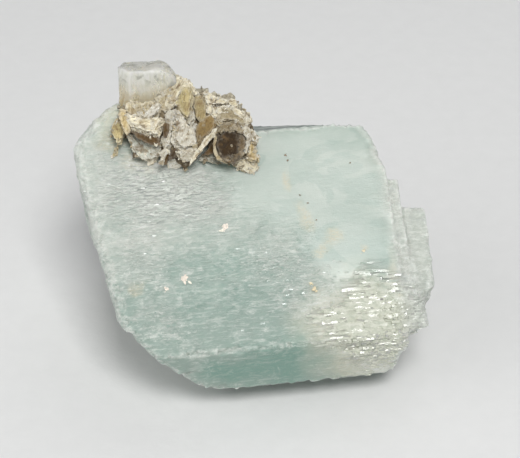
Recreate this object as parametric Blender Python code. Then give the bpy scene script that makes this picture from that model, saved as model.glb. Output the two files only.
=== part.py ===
"""Aquamarine crystal with a cluster of muscovite mica and a small colourless crystal on it.

The beryl prism lies on one of its prism faces. The model is drawn along the crystal's own axes:
X runs along the c-axis, Y goes from the front prism face to the back one, Z points up, and the
lengths are millimetres times MM. An empty turns those axes and puts the whole specimen with the
middle of its footprint on the origin.
"""

from math import ceil, cos, radians, sin
from random import Random

import bmesh
import bpy
from mathutils import Matrix, Vector, noise

MM = 0.001
PART_NAME = "aquamarine_specimen"
YAW = radians(8.0)  # the c-axis is turned this far from world X
GAP = 0.3 * MM  # clearance between two minerals
SEED = 11

# The section of the prism: each side face is named by the angle of its normal, 0 facing the front,
# 90 up and 180 back, with its distance from the axis.
AXIS_Y = 16.5 * MM
AXIS_Z = 11.5 * MM
SECTION = {
    0: 16.5 * MM,
    49: 10.4 * MM,
    60: 9.35 * MM,
    120: 22.7 * MM,
    180: 15.2 * MM,
    240: 13.2 * MM,
    270: AXIS_Z,
    300: 15.0 * MM,
}
BODY_X = (-24.0 * MM, 19.4 * MM)
TOP_FACE = 120

# Right of this step the prism is lower, so its left end is a taller parallel crystal.
STEP_X = -7.0 * MM
STEP_TOP = 17.15 * MM
STEP_RISER = (-0.96, -0.10, -0.25)

# Breaks: a point on each plane and its outward normal.
BREAKS = {
    "left_end": ((-18.7, 14.8, 21.3), (-0.98, -0.19, 0.04)),
    "left_foot": ((-16.9, 2.4, 13.5), (-0.79, -0.21, -0.58)),
    "front_left_corner": ((-11.3, -0.3, 7.9), (-0.68, -0.35, -0.65)),
    "front_left_foot": ((-6.2, -0.4, 3.8), (-0.41, -0.47, -0.78)),
    "front_right_foot": ((19.2, -0.2, 7.2), (0.88, -0.31, -0.35)),
    "right_top_corner": ((18.4, 22.4, 25.6), (0.94, 0.27, 0.21)),
    "left_shoulder": ((-20.0, 25.1, 27.4), (-0.81, 0.36, 0.47)),
    "left_crown": ((-17.0, 28.6, 29.5), (-0.70, 0.44, 0.57)),
    "rear_right": ((8.0, 28.8, 14.0), (0.28, 0.95, 0.10)),
    "rear_left_foot": ((-15.0, 27.5, 7.0), (-0.62, 0.55, -0.56)),
    "rear_right_foot": ((16.5, 22.0, 3.0), (0.66, 0.42, -0.62)),
}

# Two thinner crystals in the same direction on the right end, each cut back further than the last.
SLAB_X = (17.0 * MM, 20.8 * MM)
SLAB_SECTION = {
    0: 15.4 * MM,
    60: 8.9 * MM,
    145: 7.0 * MM,
    180: 9.0 * MM,
    240: 6.5 * MM,
    300: 9.6 * MM,
}
END_X = (17.0 * MM, 23.9 * MM)
END_SECTION = {
    0: 16.1 * MM,
    60: 8.3 * MM,
    145: 3.1 * MM,
    180: 4.0 * MM,
    240: 4.6 * MM,
    300: 8.6 * MM,
}

# The foot of the last crystal is shorter: it lacks what lies right of FOOT_X and below FOOT_TOP.
FOOT_X = 22.2 * MM
FOOT_TOP = (20.0, 4.0, 14.9)
FOOT_ANGLE = 150

# Bites out of the edges: centre, radius.
CHIPS = {
    "left_edge_bite": ((-16.2, 3.0, 15.6), 1.3),
    "front_foot_bite": ((2.6, -0.5, 2.4), 1.4),
    "end_corner_bite": ((24.4, 14.2, 20.6), 1.2),
    "right_edge_bite": ((19.9, 1.4, 13.4), 1.2),
    "rear_edge_bite": ((-2.0, 32.6, 21.4), 1.8),
    "rear_foot_bite": ((5.0, 24.6, -0.3), 1.5),
}

# How closely each kind of face is divided: across the striations, along them, and on a break.
STRIA_WIDTH = 0.9 * MM
STRIA_LENGTH = 3.2 * MM
WIDE_STRIA_WIDTH = 2.2 * MM
WIDE_STRIA_LENGTH = 6.5 * MM
BREAK_CELL = 1.6 * MM
LEDGE_CELL = (1.5 * MM, 0.7 * MM)
END_CELL = 2.4 * MM
CLOSELY_DIVIDED_FACES = (0, 49, 60, 120)
SMALLEST_DIVIDED_AREA = 2.0 * MM * MM
SCORE_JITTER = 0.3
SCORE_TOLERANCE = 0.02 * MM

# How deep the surface goes below the ideal face.
STRIA_DEPTH = 0.16 * MM
LEDGE_DEPTH = 0.55 * MM
BREAK_DEPTH = 1.05 * MM
END_DEPTH = 0.22 * MM
LEDGE_CENTRE = Vector((13.5, 4.0, 13.0)) * MM
LEDGE_REACH = 9.0 * MM

# How often the relief repeats, in cycles a millimetre along X, Y and Z.
STRIA_RATE = (0.05, 1.1, 1.1)
LEDGE_RATE = (0.42, 0.8, 0.8)
COARSE_BREAK_RATE = (0.16, 0.16, 0.16)
FINE_BREAK_RATE = (0.55, 0.55, 0.55)
END_RATE = (0.37, 0.37, 0.37)

# The small crystal, with its own axis leaning back and to the right.
SMALL_AXIS = Vector((0.06, 0.30, 0.95)).normalized()
SMALL_FOOT = Vector((-10.7, 28.0, 27.9)) * MM
SMALL_HEIGHT = 6.9 * MM
SMALL_ROOT = 3.0 * MM
SMALL_SECTION = {
    4: 2.1 * MM,
    72: 3.8 * MM,
    128: 3.6 * MM,
    184: 2.2 * MM,
    250: 3.8 * MM,
    304: 3.6 * MM,
}
SMALL_CORNER = (Vector((2.4, -0.4, 5.4)) * MM, Vector((0.72, 0.0, 0.69)))
SMALL_CHIPS = {
    "small_left_bite": ((-14.6, 28.4, 35.2), 0.9),
    "small_back_bite": ((-9.2, 31.6, 35.6), 1.0),
    "small_side_bite": ((-6.9, 27.2, 31.0), 0.8),
}

# The mass that the mica books grow from, as planes: a point and its outward normal.
MICA_CORE = (
    ((-5.0, 22.0, 27.4), (0.0, -0.50, 0.87)),
    ((-13.4, 26.0, 29.0), (-0.90, -0.10, 0.30)),
    ((1.4, 24.0, 27.0), (0.90, -0.10, 0.35)),
    ((-6.0, 22.2, 26.0), (0.10, -0.90, -0.42)),
    ((-6.0, 26.5, 32.0), (0.22, 0.05, 0.97)),
    ((-6.0, 29.4, 29.0), (0.10, 0.95, 0.30)),
    ((-6.0, 24.0, 24.8), (0.0, 0.0, -1.0)),
)

# Mica books: centre, sheet normal, long direction, (length, width, thickness), sheets.
BOOKS = {
    "crest_page": ((-6.2, 27.2, 30.2), (-0.79, -0.27, 0.54), (0.07, 0.85, 0.53), (6.6, 4.8, 1.6), 4),
    "tan_shell": ((-4.1, 26.6, 30.4), (-0.43, -0.57, 0.70), (-0.01, 0.78, 0.63), (5.4, 3.8, 1.2), 2),
    "ridge": ((-1.5, 27.0, 28.7), (0.38, 0.15, 0.91), (0.88, -0.37, -0.31), (6.6, 4.2, 2.0), 3),
    "knob": ((-0.4, 26.8, 29.8), (0.20, 0.40, 0.90), (0.90, -0.20, -0.30), (2.6, 2.4, 1.6), 2),
    "dark_book": ((-0.6, 23.0, 27.6), (0.0, -0.68, 0.74), (0.26, 0.71, 0.65), (5.8, 4.8, 2.8), 4),
    "dark_cap": ((-0.1, 25.4, 28.8), (0.10, 0.0, 0.99), (0.95, -0.31, -0.10), (5.6, 3.6, 1.6), 2),
    "right_flakes": ((2.0, 22.4, 26.8), (0.74, -0.48, 0.47), (0.06, 0.74, 0.67), (6.0, 3.0, 1.2), 2),
    "right_tip": ((1.0, 20.6, 25.2), (0.08, -0.87, 0.49), (0.82, -0.22, -0.53), (4.0, 3.6, 1.2), 2),
    "bright_blade": ((-4.5, 21.6, 27.2), (0.73, -0.58, -0.37), (0.66, 0.45, 0.60), (7.2, 4.2, 0.6), 1),
    "ochre_hollow": ((-3.7, 24.4, 28.0), (-0.56, -0.42, 0.71), (0.53, 0.47, 0.70), (6.2, 4.0, 1.4), 2),
    "silver_mass": ((-7.1, 23.6, 28.0), (0.18, -0.56, 0.81), (-0.03, 0.82, 0.57), (7.8, 4.8, 2.6), 4),
    "silver_lip": ((-6.8, 21.2, 26.8), (-0.01, -0.81, 0.59), (1.0, 0.04, 0.08), (4.8, 4.2, 1.4), 2),
    "cream_ledge": ((-11.8, 25.0, 28.9), (0.06, -0.26, 0.96), (0.94, -0.32, -0.15), (6.6, 4.4, 2.0), 3),
    "cream_chip": ((-10.8, 26.6, 30.4), (-0.51, 0.03, 0.86), (0.83, 0.27, 0.48), (4.2, 3.0, 1.0), 2),
    "grey_sheet": ((-11.6, 23.9, 27.2), (0.01, -0.68, 0.74), (0.86, -0.37, -0.35), (5.8, 4.4, 1.0), 2),
    "olive_flake": ((-14.4, 25.6, 28.4), (-0.48, -0.55, 0.68), (0.28, 0.64, 0.71), (5.4, 3.4, 1.2), 2),
    "dark_tip": ((-9.2, 22.0, 26.8), (-0.68, -0.57, 0.46), (0.29, 0.37, 0.88), (4.6, 2.8, 0.9), 1),
}
# Loose flakes stand on edge along these lines, up to FLAKE_SPREAD off them.
CREST_LINE = ((-14.2, 25.6, 29.2), (-7.0, 26.6, 30.4), (-1.0, 25.6, 28.6), (0.6, 22.2, 26.4))
CREST_FLAKES = 26
REAR_LINE = ((-6.6, 29.6, 29.8), (-5.0, 29.4, 27.8), (-2.0, 28.6, 26.4), (1.0, 26.6, 26.8))
REAR_FLAKES = 18
FLAKE_SPREAD = 1.6 * MM
FLAKE_LENGTH = (2.2 * MM, 4.6 * MM)
FLAKE_THICKNESS = (0.4 * MM, 0.9 * MM)

SHEET_SPLAY = radians(5.0)
SHEET_TURN = radians(17.0)
SHEET_OVERLAP = 1.2  # thickness of a sheet, as a share of the space that it has in its book
SHEET_SHIFT = 0.12  # sideways shift of each sheet, as a share of the book's width
RIM_UNEVENNESS = 0.5  # how far a sheet's rim leaves the regular hexagon
RIM_RATE = 3.0


def clear_scene():
    for obj in list(bpy.data.objects):
        bpy.data.objects.remove(obj, do_unlink=True)


def new_collection(name, hidden=False):
    collection = bpy.data.collections.new(name)
    collection.hide_render = hidden
    bpy.context.scene.collection.children.link(collection)
    return collection


def new_material(name, colour, roughness, transmission=0.0, ior=1.5):
    material = bpy.data.materials.new(name)
    material.use_nodes = True
    shader = material.node_tree.nodes["Principled BSDF"]
    shader.inputs["Base Color"].default_value = (*colour, 1.0)
    shader.inputs["Roughness"].default_value = roughness
    shader.inputs["Metallic"].default_value = 0.0
    shader.inputs["Transmission Weight"].default_value = transmission
    shader.inputs["IOR"].default_value = ior
    return material


def new_object(name, bm, collection, parent, material=None):
    mesh = bpy.data.meshes.new(name)
    bm.to_mesh(mesh)
    bm.free()
    if material:
        mesh.materials.append(material)
    obj = bpy.data.objects.new(name, mesh)
    obj.parent = parent
    collection.objects.link(obj)
    return obj


def new_tool(name, bm, collection, parent):
    """A solid that only cuts or joins another one."""
    obj = new_object(name, bm, collection, parent)
    obj.hide_render = True
    obj.display_type = "WIRE"
    return obj


def add_boolean(obj, operation, other=None, collection=None):
    modifier = obj.modifiers.new(operation.lower(), "BOOLEAN")
    modifier.operation = operation
    modifier.solver = "EXACT"
    if collection:
        modifier.operand_type = "COLLECTION"
        modifier.collection = collection
    else:
        modifier.object = other


def apply_modifiers(obj):
    """Puts the evaluated mesh in place of the one that the modifiers started from."""
    bpy.context.view_layer.update()
    graph = bpy.context.evaluated_depsgraph_get()
    mesh = bpy.data.meshes.new_from_object(obj.evaluated_get(graph))
    obj.modifiers.clear()
    obj.data = mesh


def side_normal(angle):
    return Vector((0.0, -cos(radians(angle)), sin(radians(angle))))


def in_mm(values):
    return Vector(values) * MM


def plane_solid(planes, size=200 * MM):
    """A cube cut back to every (point, outward normal), with each cut closed."""
    bm = bmesh.new()
    bmesh.ops.create_cube(bm, size=size)
    for point, normal in planes:
        geometry = bm.verts[:] + bm.edges[:] + bm.faces[:]
        bmesh.ops.bisect_plane(
            bm, geom=geometry, plane_co=point, plane_no=normal, clear_outer=True, dist=1e-7
        )
        bmesh.ops.holes_fill(bm, edges=bm.edges[:], sides=0)
    bmesh.ops.recalc_face_normals(bm, faces=bm.faces[:])
    return bm


def prism_planes(section, span, grow=0.0):
    """Planes of a prism along X with this section, grown outward by grow."""
    axis = Vector((0.0, AXIS_Y, AXIS_Z))
    planes = []
    for angle, distance in section.items():
        normal = side_normal(angle)
        planes.append((axis + normal * (distance + grow), normal))
    planes.append((Vector((span[0] - grow, 0.0, 0.0)), Vector((-1.0, 0.0, 0.0))))
    planes.append((Vector((span[1] + grow, 0.0, 0.0)), Vector((1.0, 0.0, 0.0))))
    return planes


def break_planes(grow=0.0):
    planes = []
    for point, normal in BREAKS.values():
        normal = Vector(normal).normalized()
        planes.append((in_mm(point) + normal * grow, normal))
    return planes


def step_solid(grow=0.0):
    """What the lower right part of the prism lacks: all above its own top face, right of the step."""
    up = side_normal(TOP_FACE)
    axis = Vector((0.0, AXIS_Y, AXIS_Z))
    riser = Vector(STEP_RISER).normalized()
    foot = Vector((STEP_X, AXIS_Y, AXIS_Z)) + up * STEP_TOP
    return plane_solid([(axis + up * (STEP_TOP + grow), -up), (foot - riser * grow, riser)])


def body_solid(grow=0.0):
    return plane_solid(prism_planes(SECTION, BODY_X, grow) + break_planes(grow))


def foot_solid():
    """What the last crystal lacks at its foot."""
    up = side_normal(FOOT_ANGLE)
    return plane_solid([(Vector((FOOT_X, 0.0, 0.0)), Vector((-1.0, 0.0, 0.0))), (in_mm(FOOT_TOP), up)])


def build_crystal(parts, tools, axes):
    material = new_material("milky_aquamarine", (0.56, 0.66, 0.62), 0.35, 0.35, 1.58)
    crystal = new_object("aquamarine_crystal", body_solid(), parts, axes, material)
    add_boolean(crystal, "DIFFERENCE", new_tool("step_cutter", step_solid(), tools, axes))
    slab = plane_solid(prism_planes(SLAB_SECTION, SLAB_X))
    add_boolean(crystal, "UNION", new_tool("slab_crystal", slab, tools, axes))
    end = plane_solid(prism_planes(END_SECTION, END_X))
    add_boolean(crystal, "UNION", new_tool("end_crystal", end, tools, axes))
    add_boolean(crystal, "DIFFERENCE", new_tool("end_foot_cutter", foot_solid(), tools, axes))
    bite(crystal, CHIPS, tools, axes)
    apply_modifiers(crystal)
    weather(crystal)
    return crystal


def bite(obj, chips, tools, axes):
    """Takes a faceted chip out of the object at each named place."""
    for name, (centre, radius) in chips.items():
        bm = bmesh.new()
        bmesh.ops.create_icosphere(bm, subdivisions=1, radius=radius * MM)
        cutter = new_tool(name, bm, tools, axes)
        cutter.location = in_mm(centre)
        add_boolean(obj, "DIFFERENCE", cutter)


def kind_of(normal):
    """What a face of the crystal is: its resting face, a prism face, an end face or a break."""
    if normal.z < -0.999:
        return "base"
    if abs(normal.x) < 0.03:
        return "prism"
    if normal.x > 0.99:
        return "end"
    return "break"


def is_closely_divided(normal):
    return any(normal.dot(side_normal(angle)) > 0.9999 for angle in CLOSELY_DIVIDED_FACES)


def score(bm, faces, direction, spacing, rng):
    """Divides these faces by planes across direction, about spacing apart."""
    reach = [vert.co.dot(direction) for face in faces for vert in face.verts]
    low, high = min(reach), max(reach)
    count = max(1, ceil((high - low) / spacing))
    for index in range(1, count):
        at = low + (high - low) * (index + rng.uniform(-SCORE_JITTER, SCORE_JITTER)) / count
        faces = [face for face in faces if face.is_valid]
        edges = {edge for face in faces for edge in face.edges}
        verts = {vert for face in faces for vert in face.verts}
        cut = bmesh.ops.bisect_plane(
            bm,
            geom=list(verts) + list(edges) + faces,
            plane_co=direction * at,
            plane_no=direction,
            dist=SCORE_TOLERANCE,
        )
        made = [item for item in cut["geom"] if isinstance(item, bmesh.types.BMFace)]
        faces = list({*faces, *made})
    return faces


def divide_faces(bm, rng):
    """Gives each face the points that its relief needs, in cells along and across the c-axis."""
    along = Vector((1.0, 0.0, 0.0))
    for face in list(bm.faces):
        normal = face.normal.copy()
        kind = kind_of(normal)
        if kind == "base" or face.calc_area() < SMALLEST_DIVIDED_AREA:
            continue
        if kind == "prism":
            closely = is_closely_divided(normal)
            width = STRIA_WIDTH if closely else WIDE_STRIA_WIDTH
            length = STRIA_LENGTH if closely else WIDE_STRIA_LENGTH
            across = normal.cross(along).normalized()
            faces = score(bm, [face], across, width, rng)
            faces = score(bm, faces, along, length, rng)
            ledged = [face for face in faces if ledge_share(face.calc_center_median()) > 0.0]
            if ledged:
                ledged = score(bm, ledged, along, LEDGE_CELL[0], rng)
                score(bm, ledged, across, LEDGE_CELL[1], rng)
        else:
            cell = END_CELL if kind == "end" else BREAK_CELL
            first = normal.orthogonal().normalized()
            faces = score(bm, [face], first, cell, rng)
            score(bm, faces, normal.cross(first).normalized(), cell, rng)


def ledge_share(point):
    """1 in the middle of the rough ledged patch low on the right, 0 outside it."""
    away = (point - LEDGE_CENTRE) / LEDGE_REACH
    return max(0.0, 1.0 - Vector((away.x, away.y * 0.8, away.z * 0.8)).length)


def waves(point, rate, start=(0.0, 0.0, 0.0)):
    """Smooth noise between 0 and 1 that repeats about this often a millimetre."""
    return noise.noise(point / MM * Vector(rate) + Vector(start)) * 0.5 + 0.5


def blocks(point, rate, start=(0.0, 0.0, 0.0)):
    """One level between 0 and 1 for each block of space."""
    return noise.cell(point / MM * Vector(rate) + Vector(start))


def relief(point, kinds):
    """How far below the ideal faces the surface lies at this point."""
    stria = waves(point, STRIA_RATE)
    ledges = ledge_share(point) * blocks(point, LEDGE_RATE, start=(3.1, 0.0, 0.0))
    depth = STRIA_DEPTH * stria + LEDGE_DEPTH * ledges
    if "break" in kinds:
        coarse = waves(point, COARSE_BREAK_RATE, start=(5.0, 0.0, 0.0))
        fine = waves(point, FINE_BREAK_RATE, start=(0.0, 9.0, 0.0))
        depth = max(depth, BREAK_DEPTH * (0.55 * coarse + 0.45 * fine))
    elif "end" in kinds:
        depth = max(depth, END_DEPTH * (0.6 * blocks(point, END_RATE) + 0.4 * stria))
    return depth


def weather(obj):
    """Lowers the surface into striations, ledges and rough breaks, and keeps the resting face flat."""
    bm = bmesh.new()
    bm.from_mesh(obj.data)
    bmesh.ops.dissolve_limit(
        bm, angle_limit=radians(0.2), verts=bm.verts[:], edges=bm.edges[:]
    )
    bmesh.ops.remove_doubles(bm, verts=bm.verts[:], dist=SCORE_TOLERANCE)
    divide_faces(bm, Random(SEED))
    bmesh.ops.triangulate(bm, faces=bm.faces[:])
    bm.normal_update()
    moves = {}
    for vert in bm.verts:
        normals = [face.normal.copy() for face in vert.link_faces]
        kinds = {kind_of(normal) for normal in normals}
        inward = -sum(normals, Vector()).normalized()
        if "base" in kinds:
            inward.z = 0.0
        moves[vert] = inward * relief(vert.co, kinds)
    for vert, move in moves.items():
        vert.co += move
    bmesh.ops.triangulate(bm, faces=bm.faces[:])
    bm.to_mesh(obj.data)
    bm.free()


def small_planes(grow=0.0):
    planes = []
    turn = Vector((0.0, 0.0, 1.0)).rotation_difference(SMALL_AXIS)
    for angle, distance in SMALL_SECTION.items():
        flat = Vector((sin(radians(angle)), -cos(radians(angle)), 0.0))
        normal = turn @ flat
        planes.append((SMALL_FOOT + normal * (distance + grow), normal))
    planes.append((SMALL_FOOT + SMALL_AXIS * (SMALL_HEIGHT + grow), SMALL_AXIS))
    planes.append((SMALL_FOOT - SMALL_AXIS * SMALL_ROOT, -SMALL_AXIS))
    corner, normal = SMALL_CORNER
    planes.append((SMALL_FOOT + corner + normal * grow, normal))
    return planes


def build_small_crystal(parts, tools, axes):
    material = new_material("colourless_crystal", (0.62, 0.62, 0.53), 0.25, 0.6, 1.55)
    small = new_object("small_clear_crystal", plane_solid(small_planes()), parts, axes, material)
    add_boolean(small, "DIFFERENCE", new_tool("small_foot_cutter", body_solid(GAP), tools, axes))
    bite(small, SMALL_CHIPS, tools, axes)
    return small


def book_solid(length, width, thickness, sheets, rng):
    """A stack of six-sided sheets, each a little turned and shifted from the last."""
    stack = []
    sheet_thickness = thickness / sheets
    for index in range(sheets):
        bm = bmesh.new()
        bmesh.ops.create_cone(
            bm,
            cap_ends=True,
            segments=6,
            radius1=0.5,
            radius2=0.5,
            depth=sheet_thickness * SHEET_OVERLAP,
        )
        seed = rng.uniform(0.0, 50.0)
        for vert in bm.verts:
            at = Vector((vert.co.x * RIM_RATE, vert.co.y * RIM_RATE, seed))
            uneven = 1.0 + RIM_UNEVENNESS * noise.noise(at)
            vert.co.x *= length * uneven
            vert.co.y *= width * uneven
        lift = (index - (sheets - 1) / 2) * sheet_thickness
        shift = Vector((rng.uniform(-1, 1), rng.uniform(-1, 1), 0.0)) * SHEET_SHIFT * width
        tilt = Matrix.Rotation(rng.uniform(-1, 1) * SHEET_SPLAY, 4, "X")
        turn = Matrix.Rotation(rng.uniform(-1, 1) * SHEET_TURN, 4, "Z")
        bm.transform(Matrix.Translation(shift + Vector((0.0, 0.0, lift))) @ tilt @ turn)
        stack.append(bm)
    return stack


def facing(centre, normal, along):
    """The matrix that lays a flat piece at centre, with its Z on normal and its X near along."""
    z_axis = Vector(normal).normalized()
    x_axis = (Vector(along) - Vector(along).project(z_axis)).normalized()
    turn = Matrix((x_axis, z_axis.cross(x_axis), z_axis)).transposed().to_4x4()
    return Matrix.Translation(in_mm(centre)) @ turn


def flake_places(corners, count, rng):
    """Where each loose flake stands: centre, sheet normal, long direction and size, in millimetres."""
    line = [Vector(corner) for corner in corners]
    for index in range(count):
        at = (index + rng.random()) / count * (len(line) - 1)
        start = min(int(at), len(line) - 2)
        along = line[start + 1] - line[start]
        aside = Vector([rng.uniform(-1, 1) for _ in range(3)])
        centre = line[start] + along * (at - start) + aside * FLAKE_SPREAD / MM
        normal = along.normalized() + aside * 0.5
        length = rng.uniform(*FLAKE_LENGTH) / MM
        size = (length, length * rng.uniform(0.5, 0.8), rng.uniform(*FLAKE_THICKNESS) / MM)
        yield centre, normal, (aside.y * 0.6, 0.2, 1.0), size


def build_mica(parts, tools, axes):
    rng = Random(SEED)
    material = new_material("silvery_mica", (0.47, 0.40, 0.28), 0.4)
    core = plane_solid([(in_mm(point), Vector(normal).normalized()) for point, normal in MICA_CORE])
    mica = new_object("muscovite_mica", core, parts, axes, material)
    books = new_collection("mica_books", hidden=True)
    for name, (centre, normal, along, size, sheets) in BOOKS.items():
        length, width, thickness = in_mm(size)
        place = facing(centre, normal, along)
        for index, bm in enumerate(book_solid(length, width, thickness, sheets, rng)):
            bm.transform(place)
            new_tool(f"{name}_{index}", bm, books, axes)
    places = list(flake_places(CREST_LINE, CREST_FLAKES, rng))
    places += flake_places(REAR_LINE, REAR_FLAKES, rng)
    for number, (centre, normal, along, size) in enumerate(places):
        flake = book_solid(*in_mm(size), 1, rng)[0]
        flake.transform(facing(centre, normal, along))
        new_tool(f"flake_{number}", flake, books, axes)
    add_boolean(mica, "UNION", collection=books)
    add_boolean(mica, "DIFFERENCE", new_tool("mica_foot_cutter", grown_body(tools, axes), tools, axes))
    small = plane_solid(small_planes(GAP))
    add_boolean(mica, "DIFFERENCE", new_tool("small_clearance", small, tools, axes))
    apply_modifiers(mica)
    keep_largest_shell(mica)
    return mica


def keep_largest_shell(obj):
    """Deletes the sealed hollows between the books, and any scrap that the cuts set loose."""
    bm = bmesh.new()
    bm.from_mesh(obj.data)
    left = set(bm.verts)
    shells = []
    while left:
        shell = set()
        edge_of_search = {left.pop()}
        while edge_of_search:
            vert = edge_of_search.pop()
            shell.add(vert)
            edge_of_search |= {edge.other_vert(vert) for edge in vert.link_edges} - shell
        left -= shell
        shells.append(shell)
    shells.sort(key=len)
    bmesh.ops.delete(bm, geom=[vert for shell in shells[:-1] for vert in shell], context="VERTS")
    bm.to_mesh(obj.data)
    bm.free()


def grown_body(tools, axes):
    """The prism with its step, grown by the gap, as one closed solid."""
    grown = new_tool("grown_body", body_solid(GAP), tools, axes)
    add_boolean(grown, "DIFFERENCE", new_tool("grown_step", step_solid(GAP), tools, axes))
    apply_modifiers(grown)
    bm = bmesh.new()
    bm.from_mesh(grown.data)
    bpy.data.objects.remove(grown, do_unlink=True)
    return bm


def stand_on_origin(axes, parts):
    """Moves the axes so that the specimen rests at Z 0 with the middle of its box on the origin."""
    bpy.context.view_layer.update()
    graph = bpy.context.evaluated_depsgraph_get()
    points = []
    for obj in parts.objects:
        evaluated = obj.evaluated_get(graph)
        mesh = evaluated.to_mesh()
        points += [obj.matrix_world @ vert.co for vert in mesh.vertices]
        evaluated.to_mesh_clear()
    low = Vector([min(point[axis] for point in points) for axis in range(3)])
    high = Vector([max(point[axis] for point in points) for axis in range(3)])
    middle = (low + high) / 2
    axes.location -= Vector((middle.x, middle.y, low.z))


def main():
    clear_scene()
    parts = new_collection(PART_NAME)
    tools = new_collection("cutters", hidden=True)
    axes = bpy.data.objects.new("crystal_axes", None)
    axes.rotation_euler.z = YAW
    bpy.context.scene.collection.objects.link(axes)
    build_crystal(parts, tools, axes)
    build_small_crystal(parts, tools, axes)
    build_mica(parts, tools, axes)
    stand_on_origin(axes, parts)


main()
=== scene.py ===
"""Looks of the aquamarine specimen: a milky beryl prism, a cluster of mica books and a clear crystal.

Places are given along the crystal's own axes, in millimetres: X runs along the c-axis, Y goes from the
front prism face to the back one, and Z points up. TO_WORLD turns them into the frame, in metres.
"""

from collections import namedtuple
from functools import cached_property
from math import cos, pi, radians, sin
from random import Random

import bmesh
import bpy
import numpy as np
from mathutils import Matrix, Vector, geometry, noise
from mathutils.bvhtree import BVHTree


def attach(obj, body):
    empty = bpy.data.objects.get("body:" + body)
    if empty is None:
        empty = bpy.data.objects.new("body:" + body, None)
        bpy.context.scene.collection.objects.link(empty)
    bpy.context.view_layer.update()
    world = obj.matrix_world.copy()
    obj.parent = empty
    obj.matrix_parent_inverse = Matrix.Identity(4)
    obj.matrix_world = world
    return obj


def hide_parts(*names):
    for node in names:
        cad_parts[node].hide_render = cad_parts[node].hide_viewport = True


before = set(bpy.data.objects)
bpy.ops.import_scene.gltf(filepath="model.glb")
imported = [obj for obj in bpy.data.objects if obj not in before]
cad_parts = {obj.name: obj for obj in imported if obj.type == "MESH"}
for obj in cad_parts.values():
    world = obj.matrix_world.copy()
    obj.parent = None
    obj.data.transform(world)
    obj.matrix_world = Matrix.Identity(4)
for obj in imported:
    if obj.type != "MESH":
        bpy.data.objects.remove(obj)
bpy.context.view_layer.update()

MM = 0.001
YAW = radians(8.0)
CRYSTAL_ORIGIN = Vector((1.402, -14.809, 0.0)) * MM
TO_WORLD = Matrix.Translation(CRYSTAL_ORIGIN) @ Matrix.Rotation(YAW, 4, "Z") @ Matrix.Scale(MM, 4)
TO_CRYSTAL = TO_WORLD.inverted()


def direction(elevation, azimuth):
    """The way to a place this high and this far round. Azimuth 0 is the camera's side, 90 the right."""
    level = cos(radians(elevation))
    return Vector((sin(radians(azimuth)) * level, -cos(radians(azimuth)) * level, sin(radians(elevation))))


# The camera looks at the middle of the specimen from the photograph's height.
TO_CAMERA = direction(42.0, 0.0)
CAMERA_DISTANCE = 200.0 * MM
CAMERA_TARGET = CRYSTAL_ORIGIN + Vector((0.0, 16.0, 17.0)) * MM
CAMERA_PLACE = CAMERA_TARGET + TO_CAMERA * CAMERA_DISTANCE
SENSOR_WIDTH = 36.0
LENS = 104.97
IMAGE_SIZE = (520, 458)

# The camera and the directions of its picture along the crystal's axes.
EYE = TO_CRYSTAL @ CAMERA_PLACE
PICTURE_RIGHT = (TO_CRYSTAL.to_3x3() @ Vector((1.0, 0.0, 0.0))).normalized()
TO_EYE = (TO_CRYSTAL.to_3x3() @ TO_CAMERA).normalized()
PICTURE_UP = TO_EYE.cross(PICTURE_RIGHT)

# The key light is the one that the ledges glint in.
TO_KEY = direction(62.0, 20.0)

# The prism faces by the angle of their normal: 0 faces the front, 90 up and 180 back. Their distances in
# millimetres are from the middle of the section. Right of STEP_X the top face is lower.
PRISM_FACES = (0, 49, 60, 120, 180, 240, 300)
SECTION_MIDDLE = Vector((0.0, 16.5, 11.5))
FRONT_FACE, FRONT_DISTANCE = 0, 16.5
LOWER_FACE, LOWER_DISTANCE = 49, 10.4
MAIN_FACE, MAIN_DISTANCE = 60, 9.35
TOP_FACE, TOP_DISTANCE, LOW_TOP_DISTANCE = 120, 22.7, 17.15
STEP_X = -7.0
END_X = 18.0
MAIN_FACE_FOOT = Vector((0.0, 0.0, 12.77))  # where the plane of the main face meets Y 0

# The longest edge of the crystal's mesh: in close detail, on the sides that show, where those are smooth,
# on the sides that the camera doesn't see, and on the base.
DETAIL_EDGE = 0.25
FINE_EDGE = 0.31
SMOOTH_EDGE = 0.50
HIDDEN_EDGE = 0.75
BASE_EDGE = 0.9
# Edges are divided in rounds, each for those that are this many times too long.
SPLIT_ROUNDS = (16.0, 8.0, 4.0, 2.0, 1.0, 1.0)
WELD = 0.001
CREASE = radians(24.0)
SHEET_CREASE = radians(40.0)


def side_normal(angle):
    return Vector((0.0, -cos(radians(angle)), sin(radians(angle))))


def on_main_face(x, up):
    """The point of the main face at x along the c-axis and up across it."""
    return MAIN_FACE_FOOT + Vector((x, up * sin(radians(MAIN_FACE)), up * cos(radians(MAIN_FACE))))


def up_main_face(points):
    """How far up across the main face each point of an array lies."""
    return points @ np.array((0.0, sin(radians(MAIN_FACE)), cos(radians(MAIN_FACE))))


# ---- arrays of points


def noise_at(points, rate, start=(0.0, 0.0, 0.0)):
    """Smooth noise from about -1 to 1, with rate cycles a millimetre, or one rate for each axis."""
    scaled = (points * np.array(rate) + np.array(start)).tolist()
    return np.fromiter((noise.noise(at) for at in scaled), float, len(scaled))


def cells_at(points, rate, start=(0.0, 0.0, 0.0)):
    """One level from 0 to 1 for each block of space, with rate blocks a millimetre."""
    scaled = (points * np.array(rate) + np.array(start)).tolist()
    return np.fromiter((noise.cell(at) for at in scaled), float, len(scaled))


def smooth_step(value, low, high):
    share = np.clip((value - low) / (high - low), 0.0, 1.0)
    return share * share * (3.0 - 2.0 * share)


def mound(points, centre, reach):
    """1 at the centre, falling to 0 at this reach on each axis."""
    away = (points - np.array(centre)) / np.array(reach)
    return np.clip(1.0 - np.sqrt((away * away).sum(axis=1)), 0.0, 1.0)


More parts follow.
